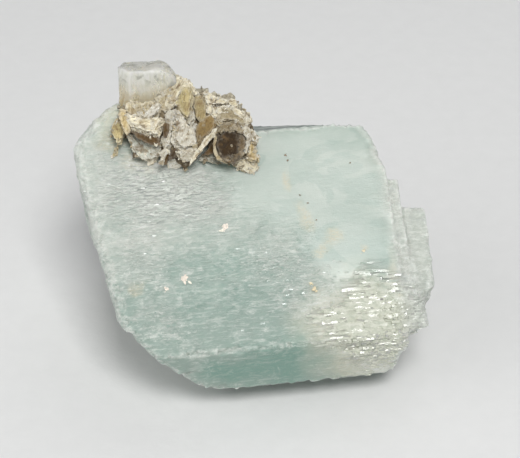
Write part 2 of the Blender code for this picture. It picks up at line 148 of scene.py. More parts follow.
def read_vectors(collection, key):
    values = np.empty(len(collection) * 3)
    collection.foreach_get(key, values)
    return values.reshape(-1, 3)


def moved(points, matrix):
    """The points of an array, moved by a matrix."""
    matrix = np.array(matrix)
    return points @ matrix[:3, :3].T + matrix[:3, 3]


def write_attributes(mesh, table):
    """Keeps a number from 0 to 1 for each point under each of the table's names."""
    for name, values in table.items():
        attribute = mesh.attributes.new(name, "FLOAT", "POINT")
        attribute.data.foreach_set("value", values.astype(np.float32))


def spread_over_edges(values, edges, rounds):
    """Averages the values with their neighbours' this many times."""
    counts = np.zeros(len(values))
    np.add.at(counts, edges.ravel(), 1.0)
    for _ in range(rounds):
        total = values.copy()
        np.add.at(total, edges[:, 0], values[edges[:, 1]])
        np.add.at(total, edges[:, 1], values[edges[:, 0]])
        values = total / (counts + 1.0).reshape((-1,) + (1,) * (values.ndim - 1))
    return values


# ---- meshes


def new_piece(name, mesh, material, node=None):
    """The mesh as a visual piece, in place of a CAD node where one is given."""
    piece = bpy.data.objects.new(name, mesh)
    bpy.context.scene.collection.objects.link(piece)
    mesh.materials.clear()
    mesh.materials.append(material)
    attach(piece, "root")
    if node:
        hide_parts(node)
    return piece


def edge_side(edge):
    """The way that the faces at an edge look."""
    return sum((face.normal for face in edge.link_faces), Vector()).normalized()


def divide(bm, limit_at):
    """Splits long edges, with limit_at giving the longest edge at an array of places and sides."""
    for times in SPLIT_ROUNDS:
        middles = np.array([(edge.verts[0].co + edge.verts[1].co) / 2 for edge in bm.edges])
        sides = np.array([edge_side(edge) for edge in bm.edges])
        lengths = np.array([edge.calc_length() for edge in bm.edges])
        is_long = lengths > limit_at(middles, sides) * times
        long = [edge for edge, split in zip(bm.edges, is_long) if split]
        bmesh.ops.subdivide_edges(bm, edges=long, cuts=1)
        bmesh.ops.triangulate(bm, faces=[face for face in bm.faces if len(face.verts) > 3])
        bm.normal_update()


def detailed(node, name, limit_at):
    """A CAD node's surface as a new mesh, welded and with its long edges divided."""
    bm = bmesh.new()
    bm.from_mesh(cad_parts[node].data)
    bm.transform(TO_CRYSTAL)
    bmesh.ops.remove_doubles(bm, verts=bm.verts[:], dist=WELD)
    divide(bm, limit_at)
    bm.transform(TO_WORLD)
    mesh = bpy.data.meshes.new(name)
    bm.to_mesh(mesh)
    bm.free()
    return mesh


def remeshed(node, voxel):
    """An even mesh of quads over a CAD node, as a new mesh."""
    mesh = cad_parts[node].data.copy()
    bm = bmesh.new()
    bm.from_mesh(mesh)
    bmesh.ops.remove_doubles(bm, verts=bm.verts[:], dist=WELD * MM)
    bm.to_mesh(mesh)
    bm.free()
    scratch = bpy.data.objects.new("scratch", mesh)
    bpy.context.scene.collection.objects.link(scratch)
    remesh = scratch.modifiers.new("voxels", "REMESH")
    remesh.mode = "VOXEL"
    remesh.voxel_size = voxel
    graph = bpy.context.evaluated_depsgraph_get()
    result = bpy.data.meshes.new_from_object(scratch.evaluated_get(graph))
    bpy.data.objects.remove(scratch)
    return result


def smooth(mesh, crease):
    mesh.shade_smooth()
    mesh.set_sharp_from_angle(angle=crease)


def creased(mesh):
    """Whether each point lies on a ridge, and whether it lies in a groove."""
    bm = bmesh.new()
    bm.from_mesh(mesh)
    ridge = np.zeros(len(bm.verts), bool)
    groove = np.zeros(len(bm.verts), bool)
    for edge in bm.edges:
        if edge.calc_face_angle(pi) > CREASE:
            found = ridge if edge.is_convex else groove
            for vert in edge.verts:
                found[vert.index] = True
    bm.free()
    return ridge, groove


class Surface:
    """The points of a mesh along the crystal's axes, with its normals and edges, in millimetres."""

    def __init__(self, mesh):
        self.mesh = mesh
        to_world = np.array(TO_WORLD)
        self.turn = to_world[:3, :3] / MM
        self.origin = to_world[:3, 3]
        self.points = (read_vectors(mesh.vertices, "co") - self.origin) @ self.turn / MM
        edges = np.empty(len(mesh.edges) * 2, np.int64)
        mesh.edges.foreach_get("vertices", edges)
        self.edges = edges.reshape(-1, 2)
        self.read_normals()

    def read_normals(self):
        self.normals = read_vectors(self.mesh.vertex_normals, "vector") @ self.turn

    def smooth_normals(self, rounds):
        spread = spread_over_edges(self.normals, self.edges, rounds)
        return spread / np.linalg.norm(spread, axis=1)[:, None]

    def relax(self, rounds, free=None):
        """Smooths the surface, only at the free points where those are given."""
        for _ in range(rounds):
            relaxed = spread_over_edges(self.points, self.edges, 1)
            self.points = relaxed if free is None else np.where(free[:, None], relaxed, self.points)

    def write(self):
        world = self.points * MM @ self.turn.T + self.origin
        self.mesh.vertices.foreach_set("co", world.ravel())
        self.mesh.update()


# ---- the crystal's shape


def face_patch(x, up, along, across):
    """A patch of the main face: its centre, and its reach on each axis."""
    return on_main_face(x, up), (along, across, across)


# Patches of the crystal's surface, each its centre and its reach on each axis. They hold the etched, rough
# and ledged zones, the calm one at the upper right, the deep blue-green, the grit and the beige.
ETCHED_PATCHES = (
    face_patch(-11.8, 21.2, 8.0, 7.0),
    face_patch(-7.0, 20.0, 7.0, 5.0),
)
ROUGH_PATCHES = (
    face_patch(-9.0, 10.0, 15.0, 12.0),
    face_patch(0.0, 4.0, 14.0, 10.0),
    face_patch(-11.8, 21.2, 11.0, 9.0),
    ((15.0, -0.3, 9.0), (9.0, 5.0, 8.0)),
)
LEDGED_PATCHES = (
    face_patch(13.4, 1.4, 7.5, 6.0),
    face_patch(16.0, 4.0, 4.5, 5.0),
)
CALM_PATCHES = (
    face_patch(9.0, 24.0, 14.0, 13.0),
    face_patch(13.5, 12.5, 8.0, 8.0),
)
DEEP_PATCHES = (
    ((2.2, -0.3, 7.6), (8.5, 3.5, 5.5)),
    ((-4.0, -0.3, 7.0), (6.0, 3.0, 4.0)),
    face_patch(-4.5, 9.0, 9.0, 7.0),
)
GRIT_PATCHES = (
    face_patch(14.5, 1.0, 7.0, 6.0),
    ((15.5, 0.0, 8.5), (5.5, 6.0, 6.5)),
    ((19.5, 3.0, 12.0), (3.5, 5.0, 5.0)),
)
BEIGE_PATCHES = (
    face_patch(13.0, 1.0, 11.0, 9.0),
    ((14.5, -0.3, 8.0), (9.5, 5.0, 8.0)),
    ((18.0, -0.3, 9.0), (5.0, 5.0, 7.0)),
    ((18.8, 4.0, 14.5), (1.6, 6.0, 8.0)),
    ((-16.5, 28.0, 28.8), (4.5, 3.5, 3.0)),
)
# Milky white patches and ochre stains that lie in the surface.
VEIL_PATCHES = (
    face_patch(-11.5, 3.0, 5.5, 4.0),
    face_patch(-14.0, 12.0, 5.0, 7.0),
    ((18.5, 1.0, 9.0), (8.5, 6.0, 9.0)),
    face_patch(3.0, 10.0, 6.0, 5.0),
    face_patch(6.5, 7.0, 6.5, 5.5),
    ((-18.5, 20.0, 23.0), (5.0, 9.0, 9.0)),
    face_patch(-11.0, 22.5, 8.0, 5.0),
)
STAIN_PATCHES = (
    face_patch(11.2, 12.2, 1.9, 1.5),
    face_patch(9.6, 10.8, 1.9, 1.6),
    face_patch(14.7, 10.2, 0.9, 0.8),
    face_patch(7.6, 5.9, 1.1, 1.2),
    face_patch(7.6, 15.4, 1.3, 2.6),
    face_patch(6.2, 20.5, 1.0, 2.4),
    face_patch(11.5, -2.6, 1.6, 1.2),
    face_patch(-12.6, 25.0, 3.0, 2.6),
    face_patch(-14.2, 8.0, 1.2, 1.2),
    face_patch(-15.5, 28.5, 3.0, 2.2),
)
# The notch in the foot of the last crystal: its middle and reach.
FOOT_NOTCH = ((21.8, 5.0, 13.6), (4.0, 5.0, 5.0))
# The sharp corner of the base at the back left.
BASE_TIP = ((-12.2, 22.9, 0.0), (5.0, 5.0, 4.0))
# The left edge of the main face bulges this far past the solid's, over this height below the face. It
# leans to the left by this much for each millimetre up the face.
LEFT_BULGE = 1.6
BULGE_HEIGHT = 8.0
LEFT_EDGE_LEAN = 0.147
# The zones' borders wander: at this rate and by this much.
ZONE_WARP = (0.28, 1.6)

# Small growth plates that lie along the c-axis on the main face and at its rims: the patches that hold
# them, how many to try, their length and width, how far they lean in degrees, and the share that glints.
Plates = namedtuple("Plates", "patches count length width lean glints")
PLATES = {
    "ledge_bars": Plates(LEDGED_PATCHES, 700, (0.7, 2.1), (0.2, 0.44), (4.0, 9.0), 0.15),
    "ledge_grit": Plates(GRIT_PATCHES, 2400, (0.2, 0.7), (0.12, 0.3), (4.0, 13.0), 0.05),
    "etched_dashes": Plates(ETCHED_PATCHES, 900, (0.3, 0.9), (0.12, 0.22), (5.0, 14.0), 0.0),
    "rough_flecks": Plates(ROUGH_PATCHES, 1100, (0.25, 0.7), (0.10, 0.18), (5.0, 16.0), 0.012),
    "sparkles": Plates(VEIL_PATCHES, 1500, (0.2, 0.5), (0.10, 0.24), (5.0, 18.0), 0.025),
}
PLATE_CORNERS = ((-1.0, -1.0), (1.0, -1.0), (1.0, 1.0), (-1.0, 1.0))
PLATE_THICKNESS = 0.3
PLATE_RISE = 0.02
# Plates are tried over this share of a patch, and thin out towards its border.
PLATE_SPREAD = 0.9
PLATE_CROWDING = 1.5


def patches(points, table):
    """The largest mound of the table at each point."""
    return np.max([mound(points, centre, reach) for centre, reach in table], axis=0)


def warped(points, rate, size):
    """The points, each moved by up to about this size, smoothly."""
    starts = ((0.0, 0.0, 7.0), (3.0, 0.0, 0.0), (0.0, 5.0, 0.0))
    return points + size * np.column_stack([noise_at(points, rate, start) for start in starts])


def crystal_edge_limit(points, sides):
    """The longest edge that the crystal's mesh may have at each place, with the normals there."""
    limit = np.where(patches(points, CALM_PATCHES) > 0.25, SMOOTH_EDGE, FINE_EDGE)
    crisp = np.maximum(patches(points, ETCHED_PATCHES), patches(points, LEDGED_PATCHES)) > 0.15
    limit = np.where(crisp, DETAIL_EDGE, limit)
    limit = np.where((sides[:, 1] > 0.4) | (sides[:, 2] < -0.4), HIDDEN_EDGE, limit)
    return np.where(sides[:, 2] < -0.999, BASE_EDGE, limit)


def face_shares(normals):
    """How far each point belongs to a prism face, to an end face, to the base, or to a break."""
    prism = np.zeros(len(normals))
    for angle in PRISM_FACES:
        prism = np.maximum(prism, smooth_step(normals @ np.array(side_normal(angle)), 0.965, 0.99))
    end = smooth_step(normals[:, 0], 0.965, 0.99)
    base = smooth_step(-normals[:, 2], 0.975, 0.995)
    broken = np.clip(1.0 - prism - end - base, 0.0, 1.0)
    return prism, end, base, broken


def beyond(points, angle, distance):
    """How far each point is outside a prism face."""
    return (points - np.array(SECTION_MIDDLE)) @ np.array(side_normal(angle)) - distance


def main_share(points, normals):
    """How far each point belongs to the main face or the lower one, and not to their rims."""
    lower = beyond(points, LOWER_FACE, LOWER_DISTANCE)
    height = np.maximum(lower, beyond(points, MAIN_FACE, MAIN_DISTANCE))
    top_distance = np.where(points[:, 0] < STEP_X, TOP_DISTANCE, LOW_TOP_DISTANCE)
    share = smooth_step(-beyond(points, FRONT_FACE, FRONT_DISTANCE), 0.1, 0.7)
    share *= smooth_step(-beyond(points, TOP_FACE, top_distance), 0.1, 0.7)
    share *= 1.0 - smooth_step(np.abs(normals[:, 0]), 0.3, 0.6)
    share *= 1.0 - smooth_step(np.abs(height), 1.1, 1.6)
    return share * (1.0 - smooth_step(points[:, 0], END_X - 0.5, END_X + 0.5))


def levelled(points, share):
    """The points, brought by this share to the two planes that the main face is made of."""
    lower = beyond(points, LOWER_FACE, LOWER_DISTANCE)
    upper = beyond(points, MAIN_FACE, MAIN_DISTANCE)
    nearer = (lower > upper)[:, None]
    normal = np.where(nearer, np.array(side_normal(LOWER_FACE)), np.array(side_normal(MAIN_FACE)))
    return points - normal * (np.maximum(lower, upper) * share)[:, None]


def bulged(points):
    """The points, with the left edge of the main face brought out to where the photograph shows it."""
    normal = np.array(side_normal(MAIN_FACE))
    below = (np.array(MAIN_FACE_FOOT) - points) @ normal
    across = up_main_face(points)
    to_edge = smooth_step(-points[:, 0] - LEFT_EDGE_LEAN * across, 10.5, 15.5)
    share = to_edge * (1.0 - smooth_step(below, 0.0, BULGE_HEIGHT)) * smooth_step(across, 4.0, 11.0)
    return points - np.outer(LEFT_BULGE * share, (1.0, 0.0, 0.0))


def on_front_edge(points):
    """Whether each point is near the edge between the lower face and the front one."""
    to_front = np.abs(beyond(points, FRONT_FACE, FRONT_DISTANCE))
    return np.maximum(to_front, np.abs(beyond(points, LOWER_FACE, LOWER_DISTANCE))) < 1.3


def eased(surface, ridge, groove):
    """Rounds the surface a little, and more in grooves, at the left end, notch, base tip and front edge."""
    surface.relax(6, free=~(ridge | groove))
    surface.relax(2)
    surface.relax(8, free=spread_over_edges(groove.astype(float), surface.edges, 3) > 0.05)
    surface.relax(45, free=(surface.points[:, 0] < -13.0) & (surface.points[:, 2] > 3.0))
    surface.relax(50, free=mound(surface.points, *FOOT_NOTCH) > 0.1)
    surface.relax(20, free=mound(surface.points, *BASE_TIP) > 0.1)
    surface.relax(25, free=on_front_edge(surface.points))


def zones_at(points):
    """The looks of each place on the crystal, as shares from 0 to 1."""
    places = warped(warped(points, *ZONE_WARP), 1.1, 0.4)
    on_main = smooth_step(points[:, 1], 0.5, 2.5)
    ledged = smooth_step(patches(places, LEDGED_PATCHES), 0.05, 0.4)
    calm = smooth_step(patches(places, CALM_PATCHES), 0.02, 0.4) * (1.0 - ledged)
    return {
        "etched": smooth_step(patches(places, ETCHED_PATCHES), 0.0, 0.5) * (1.0 - calm),
        "rough": smooth_step(patches(places, ROUGH_PATCHES), 0.0, 0.6) * (1.0 - calm),
        "ledged": ledged,
        "calm": calm,
        # low grows towards the bottom of the main face, where the shader paints the colour clearer and
        # darker as painted shade.
        "low": 1.0 - smooth_step(up_main_face(points), 5.0, 22.0),
        "deep": smooth_step(patches(places, DEEP_PATCHES), 0.0, 0.7) * (1.0 - 0.65 * on_main),
        "beige": smooth_step(patches(places, BEIGE_PATCHES), 0.0, 0.6),
        "veiled": smooth_step(patches(places, VEIL_PATCHES), 0.0, 0.6),
        "stained": smooth_step(patches(places, STAIN_PATCHES), 0.0, 0.6),
        "pale": smooth_step(points[:, 0], 17.6, 19.6),
    }


def chips_at(points):
    """How deep the rims are chipped at each place, from about 0 to 1."""
    bent = warped(points, 0.8, 0.5)
    wide = cells_at(bent, 0.75)
    small = cells_at(bent, 1.7, (0.0, 3.0, 0.0))
    return 0.5 * wide * wide + 0.3 * small + 0.3 * noise_at(points, 0.45, (6.0, 0.0, 2.0))


def relief(points, zones, shares, edge):
    """How far the fine relief lies below the eased surface at each point."""
    etched, rough, ledged = zones["etched"], zones["rough"], zones["ledged"]
    calm, pale = zones["calm"], zones["pale"]
    prism, end, base, broken = shares
    bent = warped(points, 0.5, 0.25)
    swells = noise_at(points, (0.05, 0.12, 0.12), (0.0, 2.0, 5.0))
    striae = noise_at(bent, (0.16, 1.3, 1.3))
    ripples = noise_at(bent, (0.95, 1.9, 1.9), (9.0, 0.0, 0.0))
    pits = smooth_step(noise_at(bent, (0.85, 2.6, 2.6), (2.0, 3.0, 0.0)), 0.05, 0.35)
    dimples = noise_at(bent, (0.55, 1.2, 1.2), (5.0, 0.0, 4.0))
    lumps = noise_at(points, 0.33) + 0.5 * noise_at(points, 0.8, (4.0, 4.0, 0.0))
    hackles = noise_at(bent, (1.2, 1.7, 1.7), (0.0, 0.0, 3.0))
    steps = cells_at(bent, (0.42, 1.2, 1.2), (0.0, 2.0, 0.0))
    chips = chips_at(points)

    depth = prism * (0.10 * swells + 0.012 * striae * (1.0 - 0.8 * calm))
    depth += prism * rough * (1.0 - ledged) * 0.02 * ripples
    depth += prism * etched * (0.03 * pits + 0.09 * dimples)
    depth += ledged * (0.05 * steps + 0.02 * hackles)
    depth += broken * (0.16 * lumps + 0.06 * hackles + 0.25 * chips) * (1.0 - 0.6 * pale)
    depth += end * (0.05 * cells_at(points, (0.4, 0.45, 0.45)) + 0.03 * hackles)
    depth += edge * 0.42 * chips * (1.0 - 0.7 * pale)
    return depth * (1.0 - base)


def shape_crystal(mesh):
    """Levels, eases and roughens the crystal's surface, and keeps its zones as attributes."""
    surface = Surface(mesh)
    ridge, groove = creased(mesh)
    surface.points = bulged(surface.points)
    level = main_share(surface.points, surface.smooth_normals(8))
    surface.points = levelled(surface.points, level)
    eased(surface, ridge, groove)
    surface.write()
    surface.read_normals()
    normals = surface.smooth_normals(3)
    points = surface.points
    zones = zones_at(points)
    shares = face_shares(normals)
    edge = np.clip(2.2 * spread_over_edges(ridge * (1.0 - level), surface.edges, 4), 0.0, 1.0)
    surface.points = points - normals * relief(points, zones, shares, edge)[:, None]
    surface.points[:, 2] = np.maximum(surface.points[:, 2], 0.0)
    surface.write()

    zones["broken"] = shares[-1]
    # The edge share also whitens the rims in the shader, as a painted highlight.
    zones["edge"] = edge * np.where(on_front_edge(points), 0.6, 1.0)
    # The top face, where the shader paints a dark reflection.
    zones["top"] = smooth_step(normals @ np.array(side_normal(TOP_FACE)), 0.90, 0.97)
    write_attributes(mesh, zones)


# ---- shaders

# Colours of the beryl: where it is clear or clouded, deep or beige, and what lies on it.
CLEAR_BERYL = (0.33, 0.425, 0.37)
CLOUDED_BERYL = (0.595, 0.625, 0.565)
DEEP_BERYL = (0.20, 0.365, 0.30)
BEIGE_BERYL = (0.675, 0.665, 0.535)
PALE_BERYL = (0.57, 0.58, 0.52)
# A painted dark reflection on the top face.
TOP_PAINTED_REFLECTION = (0.13, 0.155, 0.145)
STAIN = (0.58, 0.52, 0.36)
# Whitens the milky wisps, veils and breaks, and is the painted highlight on the dashes, flecks and rims.
FROST_AND_HIGHLIGHT = (0.76, 0.785, 0.73)
BRIGHT_FROST = (0.80, 0.82, 0.77)
# Painted shade in the etched pits, and the grey of the smudges on the pale end.
PAINTED_SHADE_AND_SMUDGE = (0.34, 0.38, 0.355)
MIDDLE_GREY = (0.5, 0.5, 0.5)


class Value:
    """A number, colour or vector of a material. What is worked out from it is made as nodes."""

    def __init__(self, shader, socket):
        self.shader = shader
        self.socket = socket

    def __add__(self, other):
        return self.shader.add("ShaderNodeMath", 0, {0: self, 1: other}, operation="ADD")

    def __mul__(self, other):
        return self.shader.add("ShaderNodeMath", 0, {0: self, 1: other}, operation="MULTIPLY")

    def clamped(self):
        return self.shader.add("ShaderNodeClamp", 0, {0: self})

    def ranged(self, low, high, to_low=0.0, to_high=1.0):
        """Turns low into to_low and high into to_high, evenly between them and no further."""
        inputs = {"Value": self, "From Min": low, "From Max": high, "To Min": to_low, "To Max": to_high}
        return self.shader.add("ShaderNodeMapRange", "Result", inputs)

    def between(self, start, end):
        """The start where the value is 0, and the end where it is 1."""
        return self.ranged(0.0, 1.0, start, end)

    def mixed(self, share, colour):
        """The colour, turned into another one by this share."""
        return self.shader.mix(share, self, colour)

    def tinted(self, colour):
        return self.shader.mix(1.0, self, colour, "MULTIPLY")


class Shader:
    """Builds one node material around its Principled BSDF."""

    def __init__(self, name):
        self.material = bpy.data.materials.new(name)
        self.material.use_nodes = True
        self.tree = self.material.node_tree

    def put(self, node, key, value):
        """Links a value to a node's input, or sets the input to a number or colour."""
        socket = node.inputs[key]
        if isinstance(value, Value):
            self.tree.links.new(value.socket, socket)
        elif socket.type == "RGBA":
            socket.default_value = (*value, 1.0)
        else:
            socket.default_value = value

    def add(self, kind, output, inputs=None, **settings):
        """Makes a node and gives the value of one of its outputs."""
        node = self.tree.nodes.new(kind)
        for key, setting in settings.items():
            setattr(node, key, setting)
        for key, value in (inputs or {}).items():
            self.put(node, key, value)
        return Value(self, node.outputs[output])

    @cached_property
    def place(self):
        """The place along the crystal's axes, in millimetres."""
        inputs = {
            "Vector": self.add("ShaderNodeTexCoord", "Object"),
            "Location": CRYSTAL_ORIGIN,
            "Rotation": (0.0, 0.0, YAW),
            "Scale": (MM, MM, MM),
        }
        return self.add("ShaderNodeMapping", "Vector", inputs, vector_type="TEXTURE")

    def along(self, axis):
        return self.add("ShaderNodeSeparateXYZ", axis, {0: self.place})

    def noise(self, rate, detail=2.0, roughness=0.5, warp=0.0, start=(0.0, 0.0, 0.0), place=None):
        """Noise from 0 to 1, with rate cycles a millimetre, or one rate for each axis."""
        rates = rate if isinstance(rate, tuple) else (rate, rate, rate)
        scaled = {0: place or self.place, 1: rates, 2: start}
        inputs = {
            "Vector": self.add("ShaderNodeVectorMath", "Vector", scaled, operation="MULTIPLY_ADD"),
            "Scale": 1.0,
            "Detail": detail,
            "Roughness": roughness,
            "Distortion": warp,
        }
        return self.add("ShaderNodeTexNoise", "Fac", inputs)

    def attribute(self, name, output="Fac"):
        return self.add("ShaderNodeAttribute", output, attribute_name=name)

    def zones(self, *names):
        return [self.attribute(name) for name in names]

    def mix(self, share, first, second, blend="MIX"):
        inputs = {0: share, 6: first, 7: second}
        return self.add("ShaderNodeMix", 2, inputs, data_type="RGBA", blend_type=blend)

    def bump(self, *layers):
        """The normal over layers of relief, each a height from 0 to 1 and a depth in millimetres."""
        normal = None
        for height, depth in layers:
            inputs = {"Height": height, "Distance": depth * MM, "Strength": 1.0}
            if normal:
                inputs["Normal"] = normal
            normal = self.add("ShaderNodeBump", "Normal", inputs)
        return normal

    def absorb(self, colour, density):
        volume = self.add("ShaderNodeVolumeAbsorption", "Volume", {"Color": colour, "Density": density})
        self.put(self.tree.nodes["Material Output"], "Volume", volume)

    def finished(self, **inputs):
        """The material, with these inputs of its Principled BSDF, and _ for each space in a name."""
        for key, value in inputs.items():
            self.put(self.tree.nodes["Principled BSDF"], key.replace("_", " "), value)
        return self.material


def beryl_mottle(shader):
    return shader.noise((1.1, 1.8, 1.8), 6.0, 0.75, warp=0.5)


def beryl_colour(shader, mottle, flecks):
    """The colour that the crystal and the plates on it share, from the zones of the surface."""
    clouds = shader.noise((0.10, 0.13, 0.13), 6.0, 0.6, warp=0.6)
    rust = shader.noise(0.9, 5.0, 0.7, start=(8.0, 2.0, 0.0))
    plateaus = shader.noise((0.12, 0.2, 0.2), 4.0, 0.42, warp=0.8, start=(2.0, 0.0, 3.0))
    beige, calm, etched, veiled = shader.zones("beige", "calm", "etched", "veiled")
    low, broken, deep, pale, stained = shader.zones("low", "broken", "deep", "pale", "stained")
    haze = (
        clouds.ranged(0.36, 0.64, 0.25, 0.8) * calm.between(1.0, 0.55)
        + mottle.ranged(0.35, 0.68, -0.25, 0.3)
        + calm * plateaus.ranged(0.495, 0.515, 0.04, 0.24)
        + etched * 0.35
        + veiled * 0.24
        # Painted shade: the colour turns clearer and darker towards the bottom of the main face.
        + low * -0.76
        + broken * 0.25
    )
    colour = shader.mix(haze.clamped(), CLEAR_BERYL, CLOUDED_BERYL)
    colour = colour.mixed(deep * 0.75, DEEP_BERYL)
    colour = colour.mixed(beige * mottle.ranged(0.35, 0.6, 0.55, 0.9), BEIGE_BERYL)
    colour = colour.mixed(pale * 0.7, PALE_BERYL)
    rusting = rust.ranged(0.56, 0.72) * beige.between(0.02, 0.3)
    rusting += stained * flecks.ranged(0.42, 0.6, 0.2, 0.65)
    return colour.mixed(rusting.clamped(), STAIN)


def beryl_material():
    """Milky beryl with white wisps and light inside it, painted highlights on its dashes, flecks and rims,
    painted shade in its dark dashes and a painted dark reflection on its top face.
    """
    shader = Shader("milky_beryl")
    etched, edge, pale, calm, deep = shader.zones("etched", "edge", "pale", "calm", "deep")
    veiled, beige, broken, top = shader.zones("veiled", "beige", "broken", "top")
    lively = calm.between(1.0, 0.1)
    mottle = shader.mix(lively, MIDDLE_GREY, beryl_mottle(shader))
    flecks = shader.noise((1.9, 2.8, 2.8), 5.0, 0.75, warp=0.3, start=(1.0, 5.0, 3.0))
    grain = shader.noise((3.2, 5.0, 5.0), 4.0, 0.7)
    light_dashes = shader.noise((0.55, 3.2, 3.2), 4.0, 0.6, warp=0.5, start=(4.0, 0.0, 9.0))
    dark_dashes = shader.noise((0.5, 2.6, 2.6), 3.0, warp=0.6, start=(0.0, 7.0, 2.0))
    striae = shader.noise((0.10, 3.2, 3.2), 3.0, warp=0.2)
    wisps = shader.noise((0.35, 0.5, 0.5), 5.0, 0.65, warp=1.2, start=(6.0, 1.0, 0.0))
    smudges = shader.noise(0.5, 4.0, 0.6, start=(2.0, 2.0, 6.0))
    frost_and_highlights = (
        # Painted highlight: the light dashes stand for the etched face catching the light.
        light_dashes.ranged(0.54, 0.60) * lively * deep.between(0.34, 0.12)
        + wisps.ranged(0.52, 0.66) * mottle.ranged(0.4, 0.6) * lively * 0.55
        # Painted sparkle: bright flecks in the veiled patches.
        + flecks.ranged(0.55, 0.66) * lively * veiled.between(0.15, 0.8)
        # Painted highlight along the rims.
        + edge * edge * grain.ranged(0.3, 0.7, 0.2, 0.4)
        + etched * wisps.ranged(0.47, 0.6) * grain.ranged(0.4, 0.6) * 0.7
        + veiled * beige * 0.6
        + broken * mottle.ranged(0.4, 0.65, 0.0, 0.55)
        + pale * mottle.ranged(0.45, 0.6, 0.0, 0.4)
    )
    shade_and_smudges = (
        # Painted shade: dark dashes and dark grain in the pits of the etched zone.
        dark_dashes.ranged(0.56, 0.61) * etched.between(0.1, 0.6) * lively
        + grain.ranged(0.56, 0.66) * etched.between(0.12, 0.18) * lively
        + pale * smudges.ranged(0.55, 0.68, 0.0, 0.4)
    )
    colour = beryl_colour(shader, mottle, flecks)
    # Painted dark reflection on the top face, broken by pale streaks.
    colour = colour.mixed(top * striae.ranged(0.47, 0.66, 1.0, 0.0), TOP_PAINTED_REFLECTION)
    colour = colour.mixed(frost_and_highlights.clamped(), FROST_AND_HIGHLIGHT)
    return shader.finished(
        Base_Color=colour.mixed(shade_and_smudges.clamped(), PAINTED_SHADE_AND_SMUDGE),
        Roughness=calm.between(0.42, 0.33),
        IOR=1.58,
        Normal=shader.bump((mottle, 0.10), (light_dashes * lively, 0.10), (grain * lively, 0.08)),
        Subsurface_Weight=0.8,
        Subsurface_Radius=(0.9, 1.0, 0.97),
        Subsurface_Scale=1.6 * MM,
    )


def plate_material():
    """Frosted beryl, crisper and glossier than the rest."""
    shader = Shader("beryl_plates")
    mottle = beryl_mottle(shader)
    colour = beryl_colour(shader, mottle, mottle).mixed(mottle.ranged(0.42, 0.62, 0.0, 0.45), BRIGHT_FROST)
    return shader.finished(Base_Color=colour, Roughness=0.17, IOR=1.5, Normal=shader.bump((mottle, 0.02)))


def clear_crystal_material():
    """Nearly colourless, with grey smudges under its top facet, a yellow-stained foot and painted highlights
    along its edges.
    """
    shader = Shader("clear_crystal")
    streaks = shader.noise((2.4, 2.4, 0.35), 4.0, 0.6, warp=0.3)
    clouds = shader.noise((0.5, 0.5, 0.3), 4.0, 0.6)
    smudges = shader.noise(1.1, 4.0, 0.6, start=(3.0, 0.0, 0.0))
    grain = shader.noise(1.8, 5.0, 0.75)
    height = shader.along("Z")
    smudged = height.ranged(32.8, 34.0) * height.ranged(34.5, 34.9, 1.0, 0.0)
    stained = (height.ranged(33.2, 30.6, 0.0, 0.9) + clouds.ranged(0.4, 0.6, -0.3, 0.15)).clamped()
    colour = shader.mix(streaks.ranged(0.35, 0.6), (0.84, 0.84, 0.74), (1.0, 1.0, 0.93))
    colour = colour.mixed(smudged * smudges.ranged(0.53, 0.60, 0.0, 0.75), (0.42, 0.43, 0.38))
    colour = colour.mixed(stained, (0.70, 0.56, 0.30))
    colour = colour.mixed(stained * grain.ranged(0.48, 0.58, 0.0, 0.85), (0.9, 0.85, 0.7))
    shader.absorb((0.96, 0.96, 0.88), 20.0)
    return shader.finished(
        # Painted highlight along the edges.
        Base_Color=colour.mixed(shader.attribute("edge") * 0.4, (0.98, 0.98, 0.94)),
        Roughness=clouds.ranged(0.3, 0.7, 0.15, 0.35),
        IOR=1.45,
        Normal=shader.bump((streaks, 0.06), (grain, 0.05)),
        Subsurface_Weight=1.0,
        Subsurface_Radius=(1.0, 1.0, 1.0),
        Subsurface_Scale=1.0 * MM,
        Transmission_Weight=0.5,
    )


def mica_material():
    """Each plate's own tint, streaked along its sheets and stained in patches."""
    shader = Shader("muscovite")
    tint = shader.attribute("tint", "Color")
    streaks = shader.noise((0.9, 5.0, 1.0), 4.0, 0.65, warp=0.5, place=shader.attribute("sheet", "Vector"))
    grain = shader.noise(2.2, 5.0, 0.7)
    stains = shader.noise(0.9, 4.0, 0.6, warp=0.6)
    pits = shader.noise(1.6, 4.0, 0.7, start=(0.0, 6.0, 0.0))
    colour = tint.tinted((0.55, 0.48, 0.36)).mixed(streaks.ranged(0.34, 0.52), tint)
    colour = colour.mixed(grain.ranged(0.50, 0.62), tint.tinted((1.18, 1.2, 1.24)))
    colour = colour.mixed(pits.ranged(0.42, 0.34, 0.0, 0.6), (0.10, 0.065, 0.03))
    return shader.finished(
        Base_Color=colour.mixed(stains.ranged(0.54, 0.68, 0.0, 0.65), (0.20, 0.12, 0.045)),
        Roughness=grain.ranged(0.3, 0.7, 0.34, 0.55),
        IOR=1.45,
        Specular_IOR_Level=0.3,
        Normal=shader.bump((streaks, 0.08), (grain, 0.16)),
        Subsurface_Weight=0.15,
        Subsurface_Radius=(1.0, 0.8, 0.55),
        Subsurface_Scale=0.5 * MM,
    )


def grain_material():
    shader = Shader("stuck_grain")
    grain = shader.noise(2.5, 4.0, 0.7)
    tint = shader.attribute("tint", "Color")
    colour = tint.mixed(grain.ranged(0.4, 0.6), tint.tinted((1.35, 1.35, 1.35)))
    return shader.finished(Base_Color=colour, Roughness=0.55, Normal=shader.bump((grain, 0.08)))


